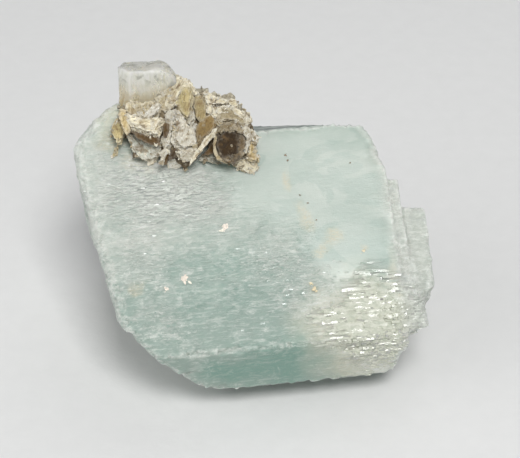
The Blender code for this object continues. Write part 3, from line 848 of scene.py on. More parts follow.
def mica_core_material():
    """Brown between the books, with a paler crust at the back."""
    shader = Shader("mica_root")
    grain = shader.noise(2.2, 6.0, 0.75)
    patch = shader.noise(0.7, 3.0)
    crust = shader.along("Y").ranged(*CRUST_DEPTH) * grain.ranged(0.38, 0.56, 0.25, 0.95)
    colour = shader.mix(patch.ranged(0.35, 0.65), (0.09, 0.055, 0.03), (0.33, 0.25, 0.14))
    colour = colour.mixed(grain.ranged(0.5, 0.68), (0.66, 0.58, 0.43))
    colour = colour.mixed(crust, (0.70, 0.65, 0.50))
    return shader.finished(Base_Color=colour, Roughness=0.6, Normal=shader.bump((grain, 0.4)))


def floor_material():
    shader = Shader("pale_floor")
    place = shader.add("ShaderNodeTexCoord", "Object")
    grain = shader.add("ShaderNodeTexNoise", "Fac", {"Vector": place, "Scale": 400.0, "Detail": 4.0})
    colour = shader.mix(grain, (0.70, 0.70, 0.69), (0.74, 0.74, 0.73))
    return shader.finished(Base_Color=colour, Roughness=0.8, Normal=shader.bump((grain, 0.1)))


# ---- thin plates

# Their tints.
WHITE = (0.80, 0.76, 0.65)
CREAM = (0.76, 0.68, 0.49)
TAN = (0.56, 0.44, 0.23)
GOLD = (0.69, 0.60, 0.40)
OCHRE = (0.52, 0.42, 0.22)
BROWN = (0.115, 0.066, 0.02)
DARK = (0.045, 0.024, 0.006)
BARK = (0.16, 0.115, 0.06)
UMBER = (0.29, 0.225, 0.125)
FAWN = (0.40, 0.335, 0.21)
# Ochre darkened as painted shade, for the hollow under the ochre leaf.
OCHRE_IN_SHADE = (0.27, 0.185, 0.07)
GREY = (0.64, 0.59, 0.47)
SILVER = (0.60, 0.56, 0.46)
PALE = (0.62, 0.62, 0.52)
OLIVE = (0.52, 0.43, 0.22)

# The longest step along a wrinkled sheet's rim, and the cell of the grid of points inside it.
RIM_STEP = 0.18
SHEET_CELL = 0.30


def random_vector(rng, size=1.0):
    return Vector([rng.uniform(-size, size) for _ in range(3)])


def facing(centre, normal, along):
    """The matrix that lays a flat piece at centre, with its Z on normal and its X near along."""
    z_axis = Vector(normal).normalized()
    x_axis = (Vector(along) - Vector(along).project(z_axis)).normalized()
    turn = Matrix((x_axis, z_axis.cross(x_axis), z_axis)).transposed().to_4x4()
    return Matrix.Translation(Vector(centre)) @ turn


def random_outline(rng, length, width, corners):
    """An angular outline of about this length and width."""
    found = []
    for index in range(corners):
        angle = 2.0 * pi * (index + rng.uniform(-0.3, 0.3)) / corners
        reach = rng.uniform(0.75, 1.1)
        found.append((cos(angle) * reach * length / 2, sin(angle) * reach * width / 2))
    return np.array(found)


def ragged(outline, unevenness, seed):
    """The outline with a point every RIM_STEP, each moved a little off it."""
    parts = []
    for start, end in zip(outline, np.roll(outline, -1, axis=0)):
        count = max(1, round(np.linalg.norm(end - start) / RIM_STEP))
        parts.append(start + (end - start) * (np.arange(count)[:, None] / count))
    points = np.vstack(parts)
    spots = np.column_stack([points, np.zeros(len(points))])
    coarse = [noise_at(spots, 0.9, (seed, layer, 0.0)) for layer in (0.0, 40.0)]
    fine = [noise_at(spots, 2.8, (layer, seed, 0.0)) for layer in (0.0, 40.0)]
    return points + unevenness * (np.column_stack(coarse) + 0.8 * np.column_stack(fine))


def is_inside(points, outline):
    """Whether each point is inside the closed outline."""
    x, y = points[:, 0][:, None], points[:, 1][:, None]
    ahead = np.roll(outline, -1, axis=0)
    spans = (outline[:, 1] > y) != (ahead[:, 1] > y)
    rise = ahead[:, 1] - outline[:, 1]
    run = (y - outline[:, 1]) * (ahead[:, 0] - outline[:, 0]) / np.where(rise == 0.0, 1.0, rise)
    return (spans & (x < outline[:, 0] + run)).sum(axis=1) % 2 == 1


def inner_points(outline, rng):
    """An uneven grid of points inside the outline, clear of its rim."""
    low, high = outline.min(axis=0), outline.max(axis=0)
    columns = np.arange(low[0], high[0], SHEET_CELL)
    rows = np.arange(low[1], high[1], SHEET_CELL)
    jitter = SHEET_CELL * 0.3
    even = [(x, y) for x in columns for y in rows]
    grid = [(x + rng.uniform(-jitter, jitter), y + rng.uniform(-jitter, jitter)) for x, y in even]
    grid = np.array(grid).reshape(-1, 2)
    grid = grid[is_inside(grid, outline)]
    gaps = np.linalg.norm(grid[:, None, :] - outline[None, :, :], axis=2)
    return grid[gaps.min(axis=1, initial=9.0) > SHEET_CELL * 0.5]


class Leaves:
    """Collects thin sheets as one mesh, with a tint and a place on its own sheet for each point."""

    def __init__(self, seed):
        self.rng = Random(seed)
        self.points = []
        self.tints = []
        self.sheets = []
        self.faces = []
        self.count = 0

    def add(self, place, outline, thickness, tint, wrinkle=0.0, fine=False):
        """A closed plate whose top lies on the place's XY plane, with that outline."""
        rng = self.rng
        seed = rng.uniform(0.0, 90.0)
        inner = inner_points(outline, rng) if fine else np.empty((0, 2))
        count = len(outline)
        rim = [(index, (index + 1) % count) for index in range(count)]
        corners = [Vector(point) for point in np.vstack([outline, inner])]
        flat, _edges, triangles, *_origins = geometry.delaunay_2d_cdt(corners, rim, [], 1, 1e-4)
        if not triangles:
            return
        x, y = np.array(flat).T
        spots = np.column_stack([x, y, np.zeros(len(x))])
        rise = wrinkle * (noise_at(spots, 0.45, (seed, 0.0, 0.0)) + 0.45 * noise_at(spots, 1.6))
        top = np.column_stack([x, y, rise])
        bottom = np.column_stack([x, y, rise - thickness])
        self.points.append(moved(np.vstack([top, bottom]), place))
        self.sheets.append(np.tile(np.column_stack([x, y, np.full(len(x), seed)]), (2, 1)))
        self.tint(spots, tint, triangles, seed)
        self.close(triangles, len(x))
        self.count += 2 * len(x)

    def tint(self, spots, tint, triangles, seed):
        """Paints the plate, lighter along its rim."""
        shade = 1.0 + 0.3 * noise_at(spots, 0.8, (seed, seed, 0.0))
        colour = np.array(tint) * shade[:, None]
        rim = np.zeros(len(spots))
        rim[[index for pair in open_edges(triangles) for index in pair]] = 1.0
        share = (rim * (0.1 + 0.7 * np.mean(tint)))[:, None]
        colour = colour * (1.0 - share) + np.array(WHITE) * share
        self.tints.append(np.vstack([colour, colour]))

    def close(self, triangles, side):
        """Adds the faces of a plate: its top, its bottom and the wall between them."""
        top = self.count
        bottom = top + side
        for a, b, c in triangles:
            self.faces.append((top + a, top + b, top + c))
            self.faces.append((bottom + c, bottom + b, bottom + a))
        for a, b in open_edges(triangles):
            self.faces.append((top + b, top + a, bottom + a))
            self.faces.append((top + b, bottom + a, bottom + b))

    def samples(self, count, sheets):
        """Points spread over the last sheets, with the normal at each."""
        points = np.vstack(self.points[-sheets:])
        first = self.count - len(points)
        corners = points[np.array([face for face in self.faces if min(face) >= first]) - first]
        crossed = np.cross(corners[:, 1] - corners[:, 0], corners[:, 2] - corners[:, 0])
        areas = np.linalg.norm(crossed, axis=1)
        for index in self.rng.choices(range(len(areas)), weights=areas.tolist(), k=count):
            share = sorted((self.rng.random(), self.rng.random()))
            weights = np.array((share[0], share[1] - share[0], 1.0 - share[1]))
            yield Vector(weights @ corners[index]), Vector(crossed[index]).normalized()

    def mesh(self, name):
        """All the plates as one mesh in the frame."""
        mesh = bpy.data.meshes.new(name)
        mesh.from_pydata(moved(np.vstack(self.points), TO_WORLD).tolist(), [], self.faces)
        tints = np.clip(np.vstack(self.tints), 0.0, 1.0)
        attribute = mesh.color_attributes.new("tint", "FLOAT_COLOR", "POINT")
        attribute.data.foreach_set("color", np.column_stack([tints, np.ones(len(tints))]).ravel())
        attribute = mesh.attributes.new("sheet", "FLOAT_VECTOR", "POINT")
        attribute.data.foreach_set("vector", np.vstack(self.sheets).ravel())
        smooth(mesh, SHEET_CREASE)
        return mesh


def open_edges(triangles):
    """The directed edges that only one triangle has."""
    directed = {(a, b) for face in triangles for a, b in zip(face, face[1:] + face[:1])}
    return sorted((a, b) for a, b in directed if (b, a) not in directed)


def varied(tint, rng, spread=0.18):
    light = 1.0 + rng.uniform(-spread, spread)
    return tuple(channel * light for channel in tint)


# ---- the large crystal


def build_crystal():
    mesh = detailed("aquamarine_crystal", "aquamarine", crystal_edge_limit)
    shape_crystal(mesh)
    smooth(mesh, CREASE)
    return new_piece("aquamarine", mesh, beryl_material(), "aquamarine_crystal")


def plate_normal(rng, kind, normal):
    """The way that a plate faces: to glint, between the camera and the key light, or leaning clear of it."""
    halfway = TO_CRYSTAL.to_3x3().normalized() @ (TO_CAMERA + TO_KEY).normalized()
    if rng.random() < kind.glints:
        return halfway + random_vector(rng, 0.03)
    lean = radians(rng.uniform(*kind.lean)) * (1.0 if normal.z < halfway.z else -1.0)
    aside = radians(rng.uniform(-4.0, 4.0))
    return Matrix.Rotation(lean, 3, "X") @ Matrix.Rotation(aside, 3, "Z") @ normal


def add_plates(plates, tree, kind):
    """Lays thin plates along the c-axis, sunk into the face of the crystal that carries them."""
    rng = plates.rng
    for _ in range(kind.count):
        centre, reach = rng.choice(kind.patches)
        shares = [rng.uniform(-PLATE_SPREAD, PLATE_SPREAD) for _ in range(3)]
        spot = Vector([at + share * size for at, share, size in zip(centre, shares, reach)])
        hit, normal, *_rest = tree.ray_cast(EYE, (spot - EYE).normalized())
        if hit is None:
            continue
        share = patches(warped(np.array([hit]), *ZONE_WARP), kind.patches)[0]
        if rng.random() > PLATE_CROWDING * share:
            continue
        length, width = rng.uniform(*kind.length), rng.uniform(*kind.width)
        corners = np.array(PLATE_CORNERS) * (length / 2, width / 2)
        corners += np.array([(rng.uniform(-0.1, 0.1), rng.uniform(-0.04, 0.04)) for _ in range(4)])
        place = facing(hit + normal * PLATE_RISE, plate_normal(rng, kind, normal), (1.0, 0.0, 0.0))
        plates.add(place, corners, PLATE_THICKNESS, WHITE)


def build_plates(crystal):
    """The growth plates, which take their looks from the zones that they lie in."""
    plates = Leaves(seed=3)
    faces = [tuple(polygon.vertices) for polygon in crystal.data.polygons]
    tree = BVHTree.FromPolygons(Surface(crystal.data).points.tolist(), faces)
    for kind in PLATES.values():
        add_plates(plates, tree, kind)
    mesh = plates.mesh("growth_plates")
    write_attributes(mesh, zones_at(Surface(mesh).points))
    new_piece("growth_plates", mesh, plate_material())


# ---- the small crystal

SMALL_EDGE = 0.26
# The upper right corner of the small crystal: its place, reach, and how far it is fuller than the solid's.
SHOULDER = ((-8.5, 27.6, 33.3), (3.4, 6.0, 3.4))
SHOULDER_SHIFT = (0.95, 0.0, 0.75)
# The same for its upper left corner.
LEFT_CORNER = ((-14.3, 27.6, 34.6), (1.8, 3.0, 1.8))
LEFT_CORNER_SHIFT = (-0.25, 0.0, 0.7)
SMALL_TOP = 35.3


def small_crystal_edge_limit(points, _sides):
    return np.full(len(points), SMALL_EDGE)


def build_small_crystal():
    """The clear crystal, with its upper corners filled out and its edges chipped."""
    mesh = detailed("small_clear_crystal", "small_crystal", small_crystal_edge_limit)
    surface = Surface(mesh)
    ridge, _groove = creased(mesh)
    fuller = np.outer(smooth_step(mound(surface.points, *SHOULDER), 0.0, 0.8), SHOULDER_SHIFT)
    fuller += np.outer(smooth_step(mound(surface.points, *LEFT_CORNER), 0.0, 0.8), LEFT_CORNER_SHIFT)
    surface.points += fuller
    surface.points[:, 2] = np.minimum(surface.points[:, 2], SMALL_TOP)
    surface.relax(3)
    surface.relax(10, free=surface.points[:, 0] > -10.5)
    points = surface.points
    edge = np.clip(2.0 * spread_over_edges(ridge.astype(float), surface.edges, 3), 0.0, 1.0)
    depth = 0.03 * noise_at(points, (1.6, 1.6, 0.2)) + edge * 0.14 * noise_at(points, 1.3)
    surface.points = points - surface.smooth_normals(2) * depth[:, None]
    surface.write()
    write_attributes(mesh, {"edge": edge})
    smooth(mesh, CREASE)
    new_piece("small_crystal", mesh, clear_crystal_material(), "small_clear_crystal")


# ---- the mica

# What lies on dark and on light pages, beside crumbs of the page's own tint.
DARK_CRUMBS = (DARK, BROWN, UMBER)
LIGHT_CRUMBS = (CREAM, WHITE, TAN, UMBER)

# A page is a small book of mica that the photograph shows: the way that it faces, how many sheets it has
# and how thick each is in millimetres, its tint, how far it stands off the solid towards the camera, the
# way that its streaks run in the picture (0 to the right, 90 up), how many crumbs lie on it, and its
# outline in pixels.
Page = namedtuple("Page", "normal sheets thickness tint lift streaks crumbs outline")
PAGES = {
    "crest_page": Page((-0.25, -0.62, 0.74), 4, 0.22, CREAM, 0.3, 60, 50, (
        (175, 75), (180, 75), (186, 78), (192, 84), (196, 90), (201, 95), (197, 97), (191, 90), (185, 87),
        (179, 95), (174, 108), (167, 116), (161, 111), (166, 95), (171, 83))),
    "page_streaks": Page((-0.10, -0.74, 0.66), 3, 0.20, GOLD, 0.2, 75, 60, (
        (154, 98), (162, 94), (169, 87), (173, 86), (175, 93), (174, 105), (170, 110), (166, 115),
        (161, 111), (161, 105), (157, 102))),
    "tan_shell": Page((-0.20, -0.70, 0.68), 4, 0.22, OLIVE, 0.7, 85, 6, (
        (184, 87), (190, 87), (193, 93), (194, 100), (192, 108), (191, 116), (188, 124), (184, 121),
        (181, 116), (177, 111), (175, 105), (178, 97), (181, 91))),
    "ochre_leaf": Page((-0.20, -0.75, 0.62), 3, 0.22, OCHRE, 0.3, 80, 5, (
        (194, 95), (202, 95), (206, 102), (208, 110), (208, 116), (204, 122), (199, 122), (196, 118),
        (194, 111), (194, 103))),
    # Ochre darkened as painted shade in the hollow.
    "ochre_hollow": Page((-0.30, -0.60, 0.74), 3, 0.25, OCHRE_IN_SHADE, 0.0, 60, 14, (
        (199, 123), (204, 120), (208, 117), (213, 115), (216, 119), (216, 127), (209, 135), (202, 142),
        (197, 146), (195, 138), (196, 131))),
    "neck": Page((-0.10, -0.70, 0.70), 3, 0.22, GREY, 0.2, 70, 20, (
        (180, 104), (188, 100), (193, 108), (196, 120), (191, 127), (185, 121), (178, 113))),
    "ridge": Page((0.20, -0.45, 0.86), 5, 0.22, CREAM, 0.2, -15, 70, (
        (200, 92), (206, 91), (212, 94), (218, 97), (224, 99), (229, 101), (228, 105), (221, 105),
        (215, 105), (211, 107), (207, 104), (204, 98))),
    "knob": Page((0.10, -0.40, 0.90), 3, 0.24, CREAM, 0.3, 30, 20, (
        (228, 100), (231, 99), (236, 101), (237, 105), (236, 110), (232, 109), (228, 105))),
    "book_rim": Page((0.20, -0.45, 0.87), 5, 0.20, FAWN, 0.3, 10, 60, (
        (210, 115), (215, 109), (221, 107), (227, 108), (234, 109), (241, 113), (246, 116), (250, 121),
        (251, 129), (246, 130), (241, 128), (234, 125), (226, 123), (221, 125), (218, 129), (214, 125))),
    "rim_crest": Page((0.20, -0.45, 0.87), 2, 0.18, CREAM, 0.6, 10, 60, (
        (211, 114), (216, 109), (222, 106), (229, 106), (236, 108), (243, 112), (248, 116), (251, 122),
        (248, 126), (244, 120), (237, 116), (229, 113), (221, 114), (215, 119))),
    "dark_book": Page((0.05, -0.74, 0.67), 4, 0.22, DARK, 0.95, 50, 30, (
        (219, 132), (225, 127), (231, 128), (236, 126), (241, 132), (243, 140), (241, 147), (243, 154),
        (238, 160), (231, 158), (226, 161), (220, 158), (217, 151), (215, 144), (217, 138))),
    "dark_fringe": Page((0.05, -0.74, 0.67), 2, 0.22, BARK, 0.8, 50, 6, (
        (240, 131), (244, 133), (246, 142), (245, 149), (243, 157), (236, 161), (228, 161), (222, 158),
        (228, 154), (235, 153), (239, 146), (238, 138))),
    "dark_border": Page((0.0, -0.74, 0.67), 2, 0.20, TAN, 0.9, 50, 4, (
        (214, 132), (217, 129), (219, 131), (217, 137), (216, 145), (217, 153), (222, 159), (229, 162),
        (226, 163), (218, 160), (214, 154), (213, 143))),
    "book_edge": Page((0.25, -0.70, 0.67), 3, 0.20, GREY, 0.7, 75, 18, (
        (242, 129), (246, 125), (251, 129), (252, 135), (250, 141), (246, 154), (244, 155), (245, 146),
        (247, 139), (243, 133))),
    "right_flakes": Page((0.20, -0.65, 0.74), 3, 0.20, WHITE, 0.3, 50, 25, (
        (251, 128), (255, 134), (259, 138), (257, 144), (252, 141), (250, 135))),
    "right_tan": Page((0.20, -0.78, 0.60), 3, 0.20, TAN, 0.1, 80, 40, (
        (250, 139), (256, 145), (256, 158), (258, 165), (251, 162), (246, 158), (248, 149))),
    "foot_grains": Page((0.10, -0.80, 0.60), 3, 0.20, CREAM, 0.1, -25, 110, (
        (223, 159), (234, 160), (244, 157), (251, 161), (258, 165), (261, 168), (256, 176), (249, 174),
        (240, 170), (232, 165), (225, 162))),
    "pale_foot": Page((0.20, -0.75, 0.62), 2, 0.16, PALE, 0.4, 20, 24, (
        (203, 154), (211, 151), (218, 156), (227, 164), (217, 164), (207, 162), (199, 161))),
    "blade_shadow": Page((0.30, -0.80, 0.50), 2, 0.22, BROWN, 0.0, 50, 6, (
        (218, 132), (220, 138), (216, 148), (216, 153), (207, 155), (202, 156), (211, 143))),
    "bright_blade": Page((-0.25, -0.75, 0.61), 2, 0.24, CREAM, 1.1, 52, 0, (
        (215, 128), (217, 130), (214, 136), (208, 143), (201, 152), (195, 160), (189, 167), (190, 161),
        (197, 150), (205, 139))),
    "mass_left": Page((-0.30, -0.70, 0.65), 4, 0.22, SILVER, 0.3, 80, 60, (
        (168, 111), (175, 108), (176, 120), (174, 135), (172, 147), (166, 153), (162, 148), (162, 140),
        (166, 131), (169, 123), (165, 116))),
    "mass_middle": Page((0.05, -0.66, 0.75), 5, 0.22, SILVER, 0.3, 72, 95, (
        (175, 108), (180, 111), (184, 120), (188, 125), (194, 130), (196, 138), (197, 146), (190, 150),
        (182, 152), (175, 147), (171, 140), (173, 125))),
    "mass_lip": Page((0.0, -0.82, 0.57), 4, 0.22, GREY, 0.6, 20, 40, (
        (175, 151), (182, 152), (190, 148), (197, 147), (195, 156), (188, 162), (181, 160), (177, 156))),
    # A dark sheet as painted shade in the hole of the grey mass.
    "hole_shade": Page((0.0, -0.82, 0.57), 2, 0.22, DARK, 0.5, 20, 0, (
        (171, 152), (174, 148), (178, 150), (178, 156), (173, 159), (168, 158))),
    "dark_tip": Page((-0.30, -0.80, 0.50), 2, 0.22, BROWN, 0.5, 60, 4, (
        (161, 157), (167, 152), (172, 151), (171, 157), (166, 165), (163, 165))),
    "tip_edge": Page((-0.30, -0.75, 0.60), 2, 0.22, GREY, 0.9, 60, 8, (
        (160, 152), (165, 149), (170, 150), (166, 156), (163, 165), (161, 164), (161, 157))),
    "grey_sheet": Page((0.0, -0.60, 0.80), 2, 0.16, PALE, -0.25, -55, 60, (
        (126, 133), (136, 135), (144, 138), (154, 141), (161, 142), (161, 150), (159, 157), (151, 158),
        (142, 160), (137, 155), (132, 146))),
    "ledge_shadow": Page((0.0, -0.70, 0.70), 2, 0.20, BROWN, 0.45, -15, 6, (
        (130, 130), (138, 133), (146, 136), (153, 137), (160, 138), (160, 145), (152, 145), (144, 142),
        (136, 137))),
    "cream_ledge": Page((0.05, -0.60, 0.80), 5, 0.26, CREAM, 0.5, -15, 130, (
        (123, 113), (128, 115), (136, 117), (143, 120), (151, 121), (158, 119), (164, 118), (169, 122),
        (164, 128), (162, 135), (159, 138), (151, 135), (144, 134), (137, 131), (131, 129), (127, 125),
        (125, 119))),
    "crystal_foot": Page((-0.05, -0.80, 0.60), 2, 0.20, GOLD, 0.2, 85, 90, (
        (125, 105), (132, 101), (142, 103), (151, 101), (157, 103), (161, 110), (158, 119), (150, 121),
        (143, 119), (135, 116), (126, 114))),
    "cream_chip": Page((-0.30, -0.55, 0.78), 2, 0.30, WHITE, 1.2, 42, 0, (
        (141, 117), (146, 113), (151, 109), (154, 105), (158, 103), (161, 105), (159, 110), (154, 115),
        (149, 118), (144, 119))),
    "olive_flake": Page((-0.30, -0.66, 0.68), 4, 0.24, OLIVE, 0.3, 80, 40, (
        (118, 117), (124, 117), (127, 121), (128, 125), (126, 131), (124, 135), (122, 141), (120, 145),
        (118, 144), (116, 138), (112, 132), (113, 124), (115, 119))),
    "olive_spike": Page((-0.20, -0.68, 0.70), 2, 0.18, OLIVE, 0.1, 65, 4, (
        (120, 143), (118, 150), (115, 156), (112, 160), (113, 155), (117, 146))),
    "leaf_rim": Page((0.05, -0.60, 0.80), 3, 0.20, CREAM, 0.6, 70, 30, (
        (204, 97), (209, 101), (213, 107), (215, 114), (210, 119), (205, 123), (208, 115), (207, 107))),
    # A brown sheet as painted shade in the crevice.
    "crevice_shade": Page((-0.30, -0.80, 0.52), 2, 0.18, BROWN, 0.9, 80, 0, (
        (165, 123), (168, 124), (169, 130), (167, 137), (164, 137), (163, 130))),
    "flake_root": Page((-0.20, -0.70, 0.68), 2, 0.20, TAN, 0.1, 80, 8, (
        (119, 109), (124, 109), (127, 115), (129, 124), (131, 131), (127, 136), (123, 128), (120, 118))),
    "dark_crest": Page((0.10, -0.70, 0.71), 2, 0.16, UMBER, 1.2, 50, 40, (
        (218, 132), (220, 127), (226, 123), (233, 123), (240, 126), (244, 133), (240, 134), (236, 130),
        (230, 133), (225, 130), (221, 134))),
    "dark_foot": Page((0.0, -0.76, 0.65), 2, 0.16, BARK, 1.1, 50, 30, (
        (219, 151), (224, 154), (230, 151), (236, 153), (242, 149), (243, 155), (238, 161), (231, 163),
        (224, 161), (220, 157))),
}
# The books that the photograph doesn't show lie on the back of the solid.
REAR_BOOKS = 140
REAR_BOOK_TRIES = 3000
REAR_BOOK_LENGTH = (1.8, 3.4)
REAR_BOOK_TINTS = (CREAM, WHITE, GREY, CREAM)
REAR_CRUMBS = 900
REAR_CRUMB_TINTS = (WHITE, CREAM, CREAM, GREY, TAN)
CRUMB_LENGTH = (0.4, 1.2)
CRUMB_THICKNESS = (0.08, 0.24)
# How far a small piece stands off the solid and reaches round its middle, and how far the solid may face
# the camera where a piece still counts as behind it.
PIECE_LIFT = 0.35
PIECE_REACH = 0.3
SEEN_NORMAL = 0.5
# Each sheet of a page is this much smaller than the one below it, and fills this share of its height.
TERRACE = 0.07
SHEET_FILL = 0.8
RAGGEDNESS = 0.20
WRINKLE = 0.22
SPLAY = 0.05
CORE_VOXEL = 0.28 * MM
CORE_DEPTH = 0.40
# The places along Y where the rough crust at the back of the core begins and where it is full.
CRUST_DEPTH = (24.5, 27.0)


def pixel_ray(x, y):
    """The way from the camera through a pixel of the photograph, along the crystal's axes."""
    focal = LENS / SENSOR_WIDTH * IMAGE_SIZE[0]
    aside = PICTURE_RIGHT * (x - IMAGE_SIZE[0] / 2) + PICTURE_UP * (IMAGE_SIZE[1] / 2 - y)
    return (aside - TO_EYE * focal).normalized()


def solids_tree():
    """The CAD solids along the crystal's axes, to find what carries each page."""
    points = []
    faces = []
    for node in ("muscovite_mica", "aquamarine_crystal", "small_clear_crystal"):
        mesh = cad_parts[node].data
        first = len(points)
        points += [TO_CRYSTAL @ vertex.co for vertex in mesh.vertices]
        faces += [[first + index for index in face.vertices] for face in mesh.polygons]
    return BVHTree.FromPolygons(points, faces)


def page_place(tree, page):
    """The matrix of a page's plane, which lies on the nearer bumps of the solid inside the outline."""
    middle = pixel_ray(*np.mean(page.outline, axis=0))
    ways = [middle] + [pixel_ray(*pixel) for pixel in page.outline]
    distances = sorted(hit[3] for hit in (tree.ray_cast(EYE, way) for way in ways) if hit[0])
    along = PICTURE_RIGHT * cos(radians(page.streaks)) + PICTURE_UP * sin(radians(page.streaks))
    return facing(EYE + middle * (distances[len(distances) // 3] - page.lift), page.normal, along)


def outline_on(place, pixels):
    """Where the pixels lie on a plane, as an array of its own X and Y."""
    to_plane = place.inverted()
    eye = to_plane @ EYE
    found = []
    for pixel in pixels:
        way = to_plane.to_3x3() @ pixel_ray(*pixel)
        found.append((eye - way * (eye.z / way.z))[:2])
    return np.array(found)


def add_book(leaves, place, outline, sheets, thickness, tint, is_page):
    """A stack of sheets that steps back towards the top, each ragged and tinted in its own way."""
    rng = leaves.rng
    middle = outline.mean(axis=0)
    focus = middle + (outline[rng.randrange(len(outline))] - middle) * 0.6
    for index in range(sheets):
        shrunk = focus + (outline - focus) * (1.0 - TERRACE * index)
        rim = ragged(shrunk, RAGGEDNESS, rng.uniform(0.0, 90.0))
        lift = (index + 1.0 - sheets / 2) * thickness
        splay = Matrix.Rotation(rng.uniform(-SPLAY, SPLAY), 4, "X")
        splay = splay @ Matrix.Rotation(rng.uniform(-SPLAY, SPLAY), 4, "Y")
        sheet_place = place @ Matrix.Translation((0.0, 0.0, lift)) @ splay
        fine = is_page and index > 0
        leaves.add(sheet_place, rim, thickness * SHEET_FILL, varied(tint, rng), WRINKLE, fine)


def solid_samples(node, count, rng):
    """Points spread over a CAD solid, with the normal at each."""
    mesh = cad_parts[node].data
    mesh.calc_loop_triangles()
    corners = [TO_CRYSTAL @ vertex.co for vertex in mesh.vertices]
    triangles = [[corners[index] for index in face.vertices] for face in mesh.loop_triangles]
    areas = [(b - a).cross(c - a).length for a, b, c in triangles]
    for a, b, c in rng.choices(triangles, weights=areas, k=count):
        u, v = sorted((rng.random(), rng.random()))
        yield a * u + b * (v - u) + c * (1.0 - v), (b - a).cross(c - a).normalized()


def is_behind(tree, point, normal):
    """Whether the camera's view of a small piece at the point is blocked by the CAD solids."""
    sides = (PICTURE_UP, PICTURE_RIGHT, -PICTURE_RIGHT)
    ways = [point + normal * PIECE_LIFT + side * PIECE_REACH - EYE for side in sides]
    hits = [tree.ray_cast(EYE, way.normalized(), way.length - PIECE_REACH) for way in ways]
    return normal.dot(TO_EYE) < SEEN_NORMAL and all(hit[0] for hit in hits)


def add_rear_books(leaves, tree):
    """Small books over the back of the solid, where it faces away from the camera."""
    rng = leaves.rng
    added = 0
    for point, normal in solid_samples("muscovite_mica", REAR_BOOK_TRIES, rng):
        aside = random_vector(rng)
        length = rng.uniform(*REAR_BOOK_LENGTH)
        outline = random_outline(rng, length, length * rng.uniform(0.6, 0.9), 7)
        place = facing(point - normal * 0.3, normal + aside * 0.5, aside.yzx)
        corners = [place @ Vector((*corner, 0.3)) for corner in outline * 1.1]
        if not all(is_behind(tree, corner, normal) for corner in corners):
            continue
        add_book(leaves, place, outline, 3, 0.22, rng.choice(REAR_BOOK_TINTS), False)
        added += 1
        if added == REAR_BOOKS:
            break


def add_crumbs(leaves, spots, tints):
    """A small broken plate at each spot, which is a point and a normal."""
    rng = leaves.rng
    for point, normal in spots:
        aside = random_vector(rng)
        length = rng.uniform(*CRUMB_LENGTH) * rng.uniform(0.6, 1.0)
        outline = random_outline(rng, length, length * rng.uniform(0.4, 0.9), rng.randint(4, 7))
        place = facing(point + normal * 0.05, normal + aside * 0.8, aside.yzx)
        leaves.add(place, outline, rng.uniform(*CRUMB_THICKNESS), varied(rng.choice(tints), rng, 0.25))


def build_mica():
    """The pages that the photograph shows with their crumbs, then the books and crumbs at the back."""
    leaves = Leaves(seed=5)
    tree = solids_tree()
    for page in PAGES.values():
        place = page_place(tree, page)
        outline = outline_on(place, page.outline)
        add_book(leaves, place, outline, page.sheets, page.thickness, page.tint, True)
        spots = list(leaves.samples(page.crumbs, page.sheets))
        others = DARK_CRUMBS if page.tint in (DARK, BARK, UMBER) else LIGHT_CRUMBS
        add_crumbs(leaves, spots, (page.tint,) * 4 + others)
    add_rear_books(leaves, tree)
    spots = list(solid_samples("muscovite_mica", REAR_CRUMBS, leaves.rng))
    spots = [(point, normal) for point, normal in spots if is_behind(tree, point, normal)]
    add_crumbs(leaves, spots, REAR_CRUMB_TINTS)
    new_piece("mica_leaves", leaves.mesh("mica_leaves"), mica_material())


def build_mica_core():
    """The rough body between the books, sunk a little below the solid."""
    mesh = remeshed("muscovite_mica", CORE_VOXEL)
    surface = Surface(mesh)
    surface.relax(2)
    normals = surface.smooth_normals(2)
    rough = noise_at(surface.points, 1.2) + 0.6 * noise_at(surface.points, 2.6)
    unevenness = 0.2 + 0.4 * smooth_step(surface.points[:, 1], *CRUST_DEPTH)
    surface.points = surface.points - normals * (CORE_DEPTH + unevenness * rough)[:, None]
    surface.write()
    mesh.shade_smooth()
    new_piece("mica_core", mesh, mica_core_material(), "muscovite_mica")


# ---- grains on the main face

PINK = (0.64, 0.54, 0.47)
RUST = (0.64, 0.50, 0.22)
# Grains that are stuck to the main face: place along and up it, length, tint.
GRAINS = {
    "orange": (7.7, 5.8, 0.8, RUST),
    "orange_crumb": (7.4, 6.6, 0.5, RUST),
    "ochre": (14.7, 10.2, 0.6, OCHRE),
    "speck_top": (6.3, 24.3, 0.4, BROWN),
    "speck_top_low": (6.5, 23.5, 0.4, BROWN),
    "speck_right": (14.7, 22.4, 0.3, BROWN),
    "speck_middle": (7.5, 18.6, 0.3, BROWN),
    "speck_low": (8.4, 17.4, 0.3, BROWN),
    "speck_lower": (9.2, 15.0, 0.25, BROWN),
    "pink_middle": (-2.6, 15.2, 1.3, PINK),
    "pink_beside": (-3.2, 14.7, 0.7, WHITE),
    "pink_left": (-8.7, 8.8, 1.2, PINK),
    "pink_left_crumb": (-8.0, 8.3, 0.6, WHITE),
    "pink_far": (-11.0, 7.7, 0.7, PINK),
}
GRAIN_RISE = 0.03
# The shards of a grain: each one's share of its length, and how far it lies from the middle.
GRAIN_SHARDS = ((0.8, 0.0), (0.55, 0.25), (0.45, 0.35), (0.4, 0.4), (0.3, 0.5), (0.25, 0.6))


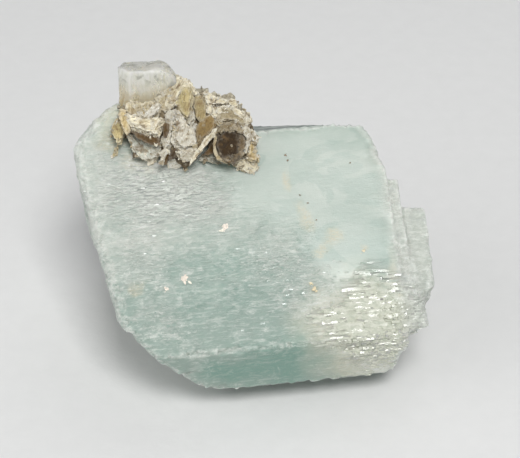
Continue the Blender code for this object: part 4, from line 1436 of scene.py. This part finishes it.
def build_grains():
    """Each grain is a few shards that lie across each other."""
    grains = Leaves(seed=9)
    rng = grains.rng
    face = side_normal(MAIN_FACE)
    for x, up, length, tint in GRAINS.values():
        for scale, drift in GRAIN_SHARDS:
            outline = random_outline(rng, length * scale, length * scale * 0.75, 6)
            aside = random_vector(rng)
            centre = on_main_face(x + aside.x * drift * length, up + aside.y * drift * length)
            centre += face * GRAIN_RISE
            place = facing(centre, face + aside * 0.15, (1.0, aside.y, aside.z))
            grains.add(place, outline, 0.3 * scale, varied(tint, rng, 0.1))
    new_piece("stuck_grains", grains.mesh("stuck_grains"), grain_material())


# ---- stage

FLOOR_SIZE = 4.0


def build_floor():
    bpy.ops.mesh.primitive_plane_add(size=FLOOR_SIZE)
    floor = bpy.context.object
    floor.name = "floor"
    floor.data.materials.append(floor_material())


def aim(obj, place, target):
    obj.location = place
    obj.rotation_euler = (Vector(target) - Vector(place)).to_track_quat("-Z", "Y").to_euler()


def add_softbox(name, way, distance, size, watts):
    """A square lamp that faces the specimen."""
    data = bpy.data.lights.new(name, "AREA")
    data.size = size
    data.energy = watts
    lamp = bpy.data.objects.new(name, data)
    bpy.context.scene.collection.objects.link(lamp)
    aim(lamp, CAMERA_TARGET + way * distance, CAMERA_TARGET)


def build_lights():
    """Three soft lamps and a dim, even world."""
    add_softbox("key", TO_KEY, distance=0.45, size=0.17, watts=1.4)
    add_softbox("left_fill", direction(32.0, -75.0), distance=0.55, size=0.45, watts=0.8)
    add_softbox("back_fill", direction(50.0, 160.0), distance=0.55, size=0.30, watts=0.35)
    world = bpy.data.worlds.new("studio")
    world.use_nodes = True
    background = world.node_tree.nodes["Background"]
    background.inputs["Color"].default_value = (0.95, 0.97, 1.0, 1.0)
    background.inputs["Strength"].default_value = 0.3
    bpy.context.scene.world = world
    bpy.context.scene.view_settings.view_transform = "Standard"


def build_camera():
    """A camera whose lens gives the photograph's view of the specimen."""
    data = bpy.data.cameras.new("camera")
    data.sensor_width = SENSOR_WIDTH
    data.lens = LENS
    data.clip_start = 0.01
    camera = bpy.data.objects.new("camera", data)
    bpy.context.scene.collection.objects.link(camera)
    aim(camera, CAMERA_PLACE, CAMERA_TARGET)
    bpy.context.scene.camera = camera


build_camera()
build_lights()
build_floor()
build_plates(build_crystal())
build_small_crystal()
build_mica_core()
build_mica()
build_grains()
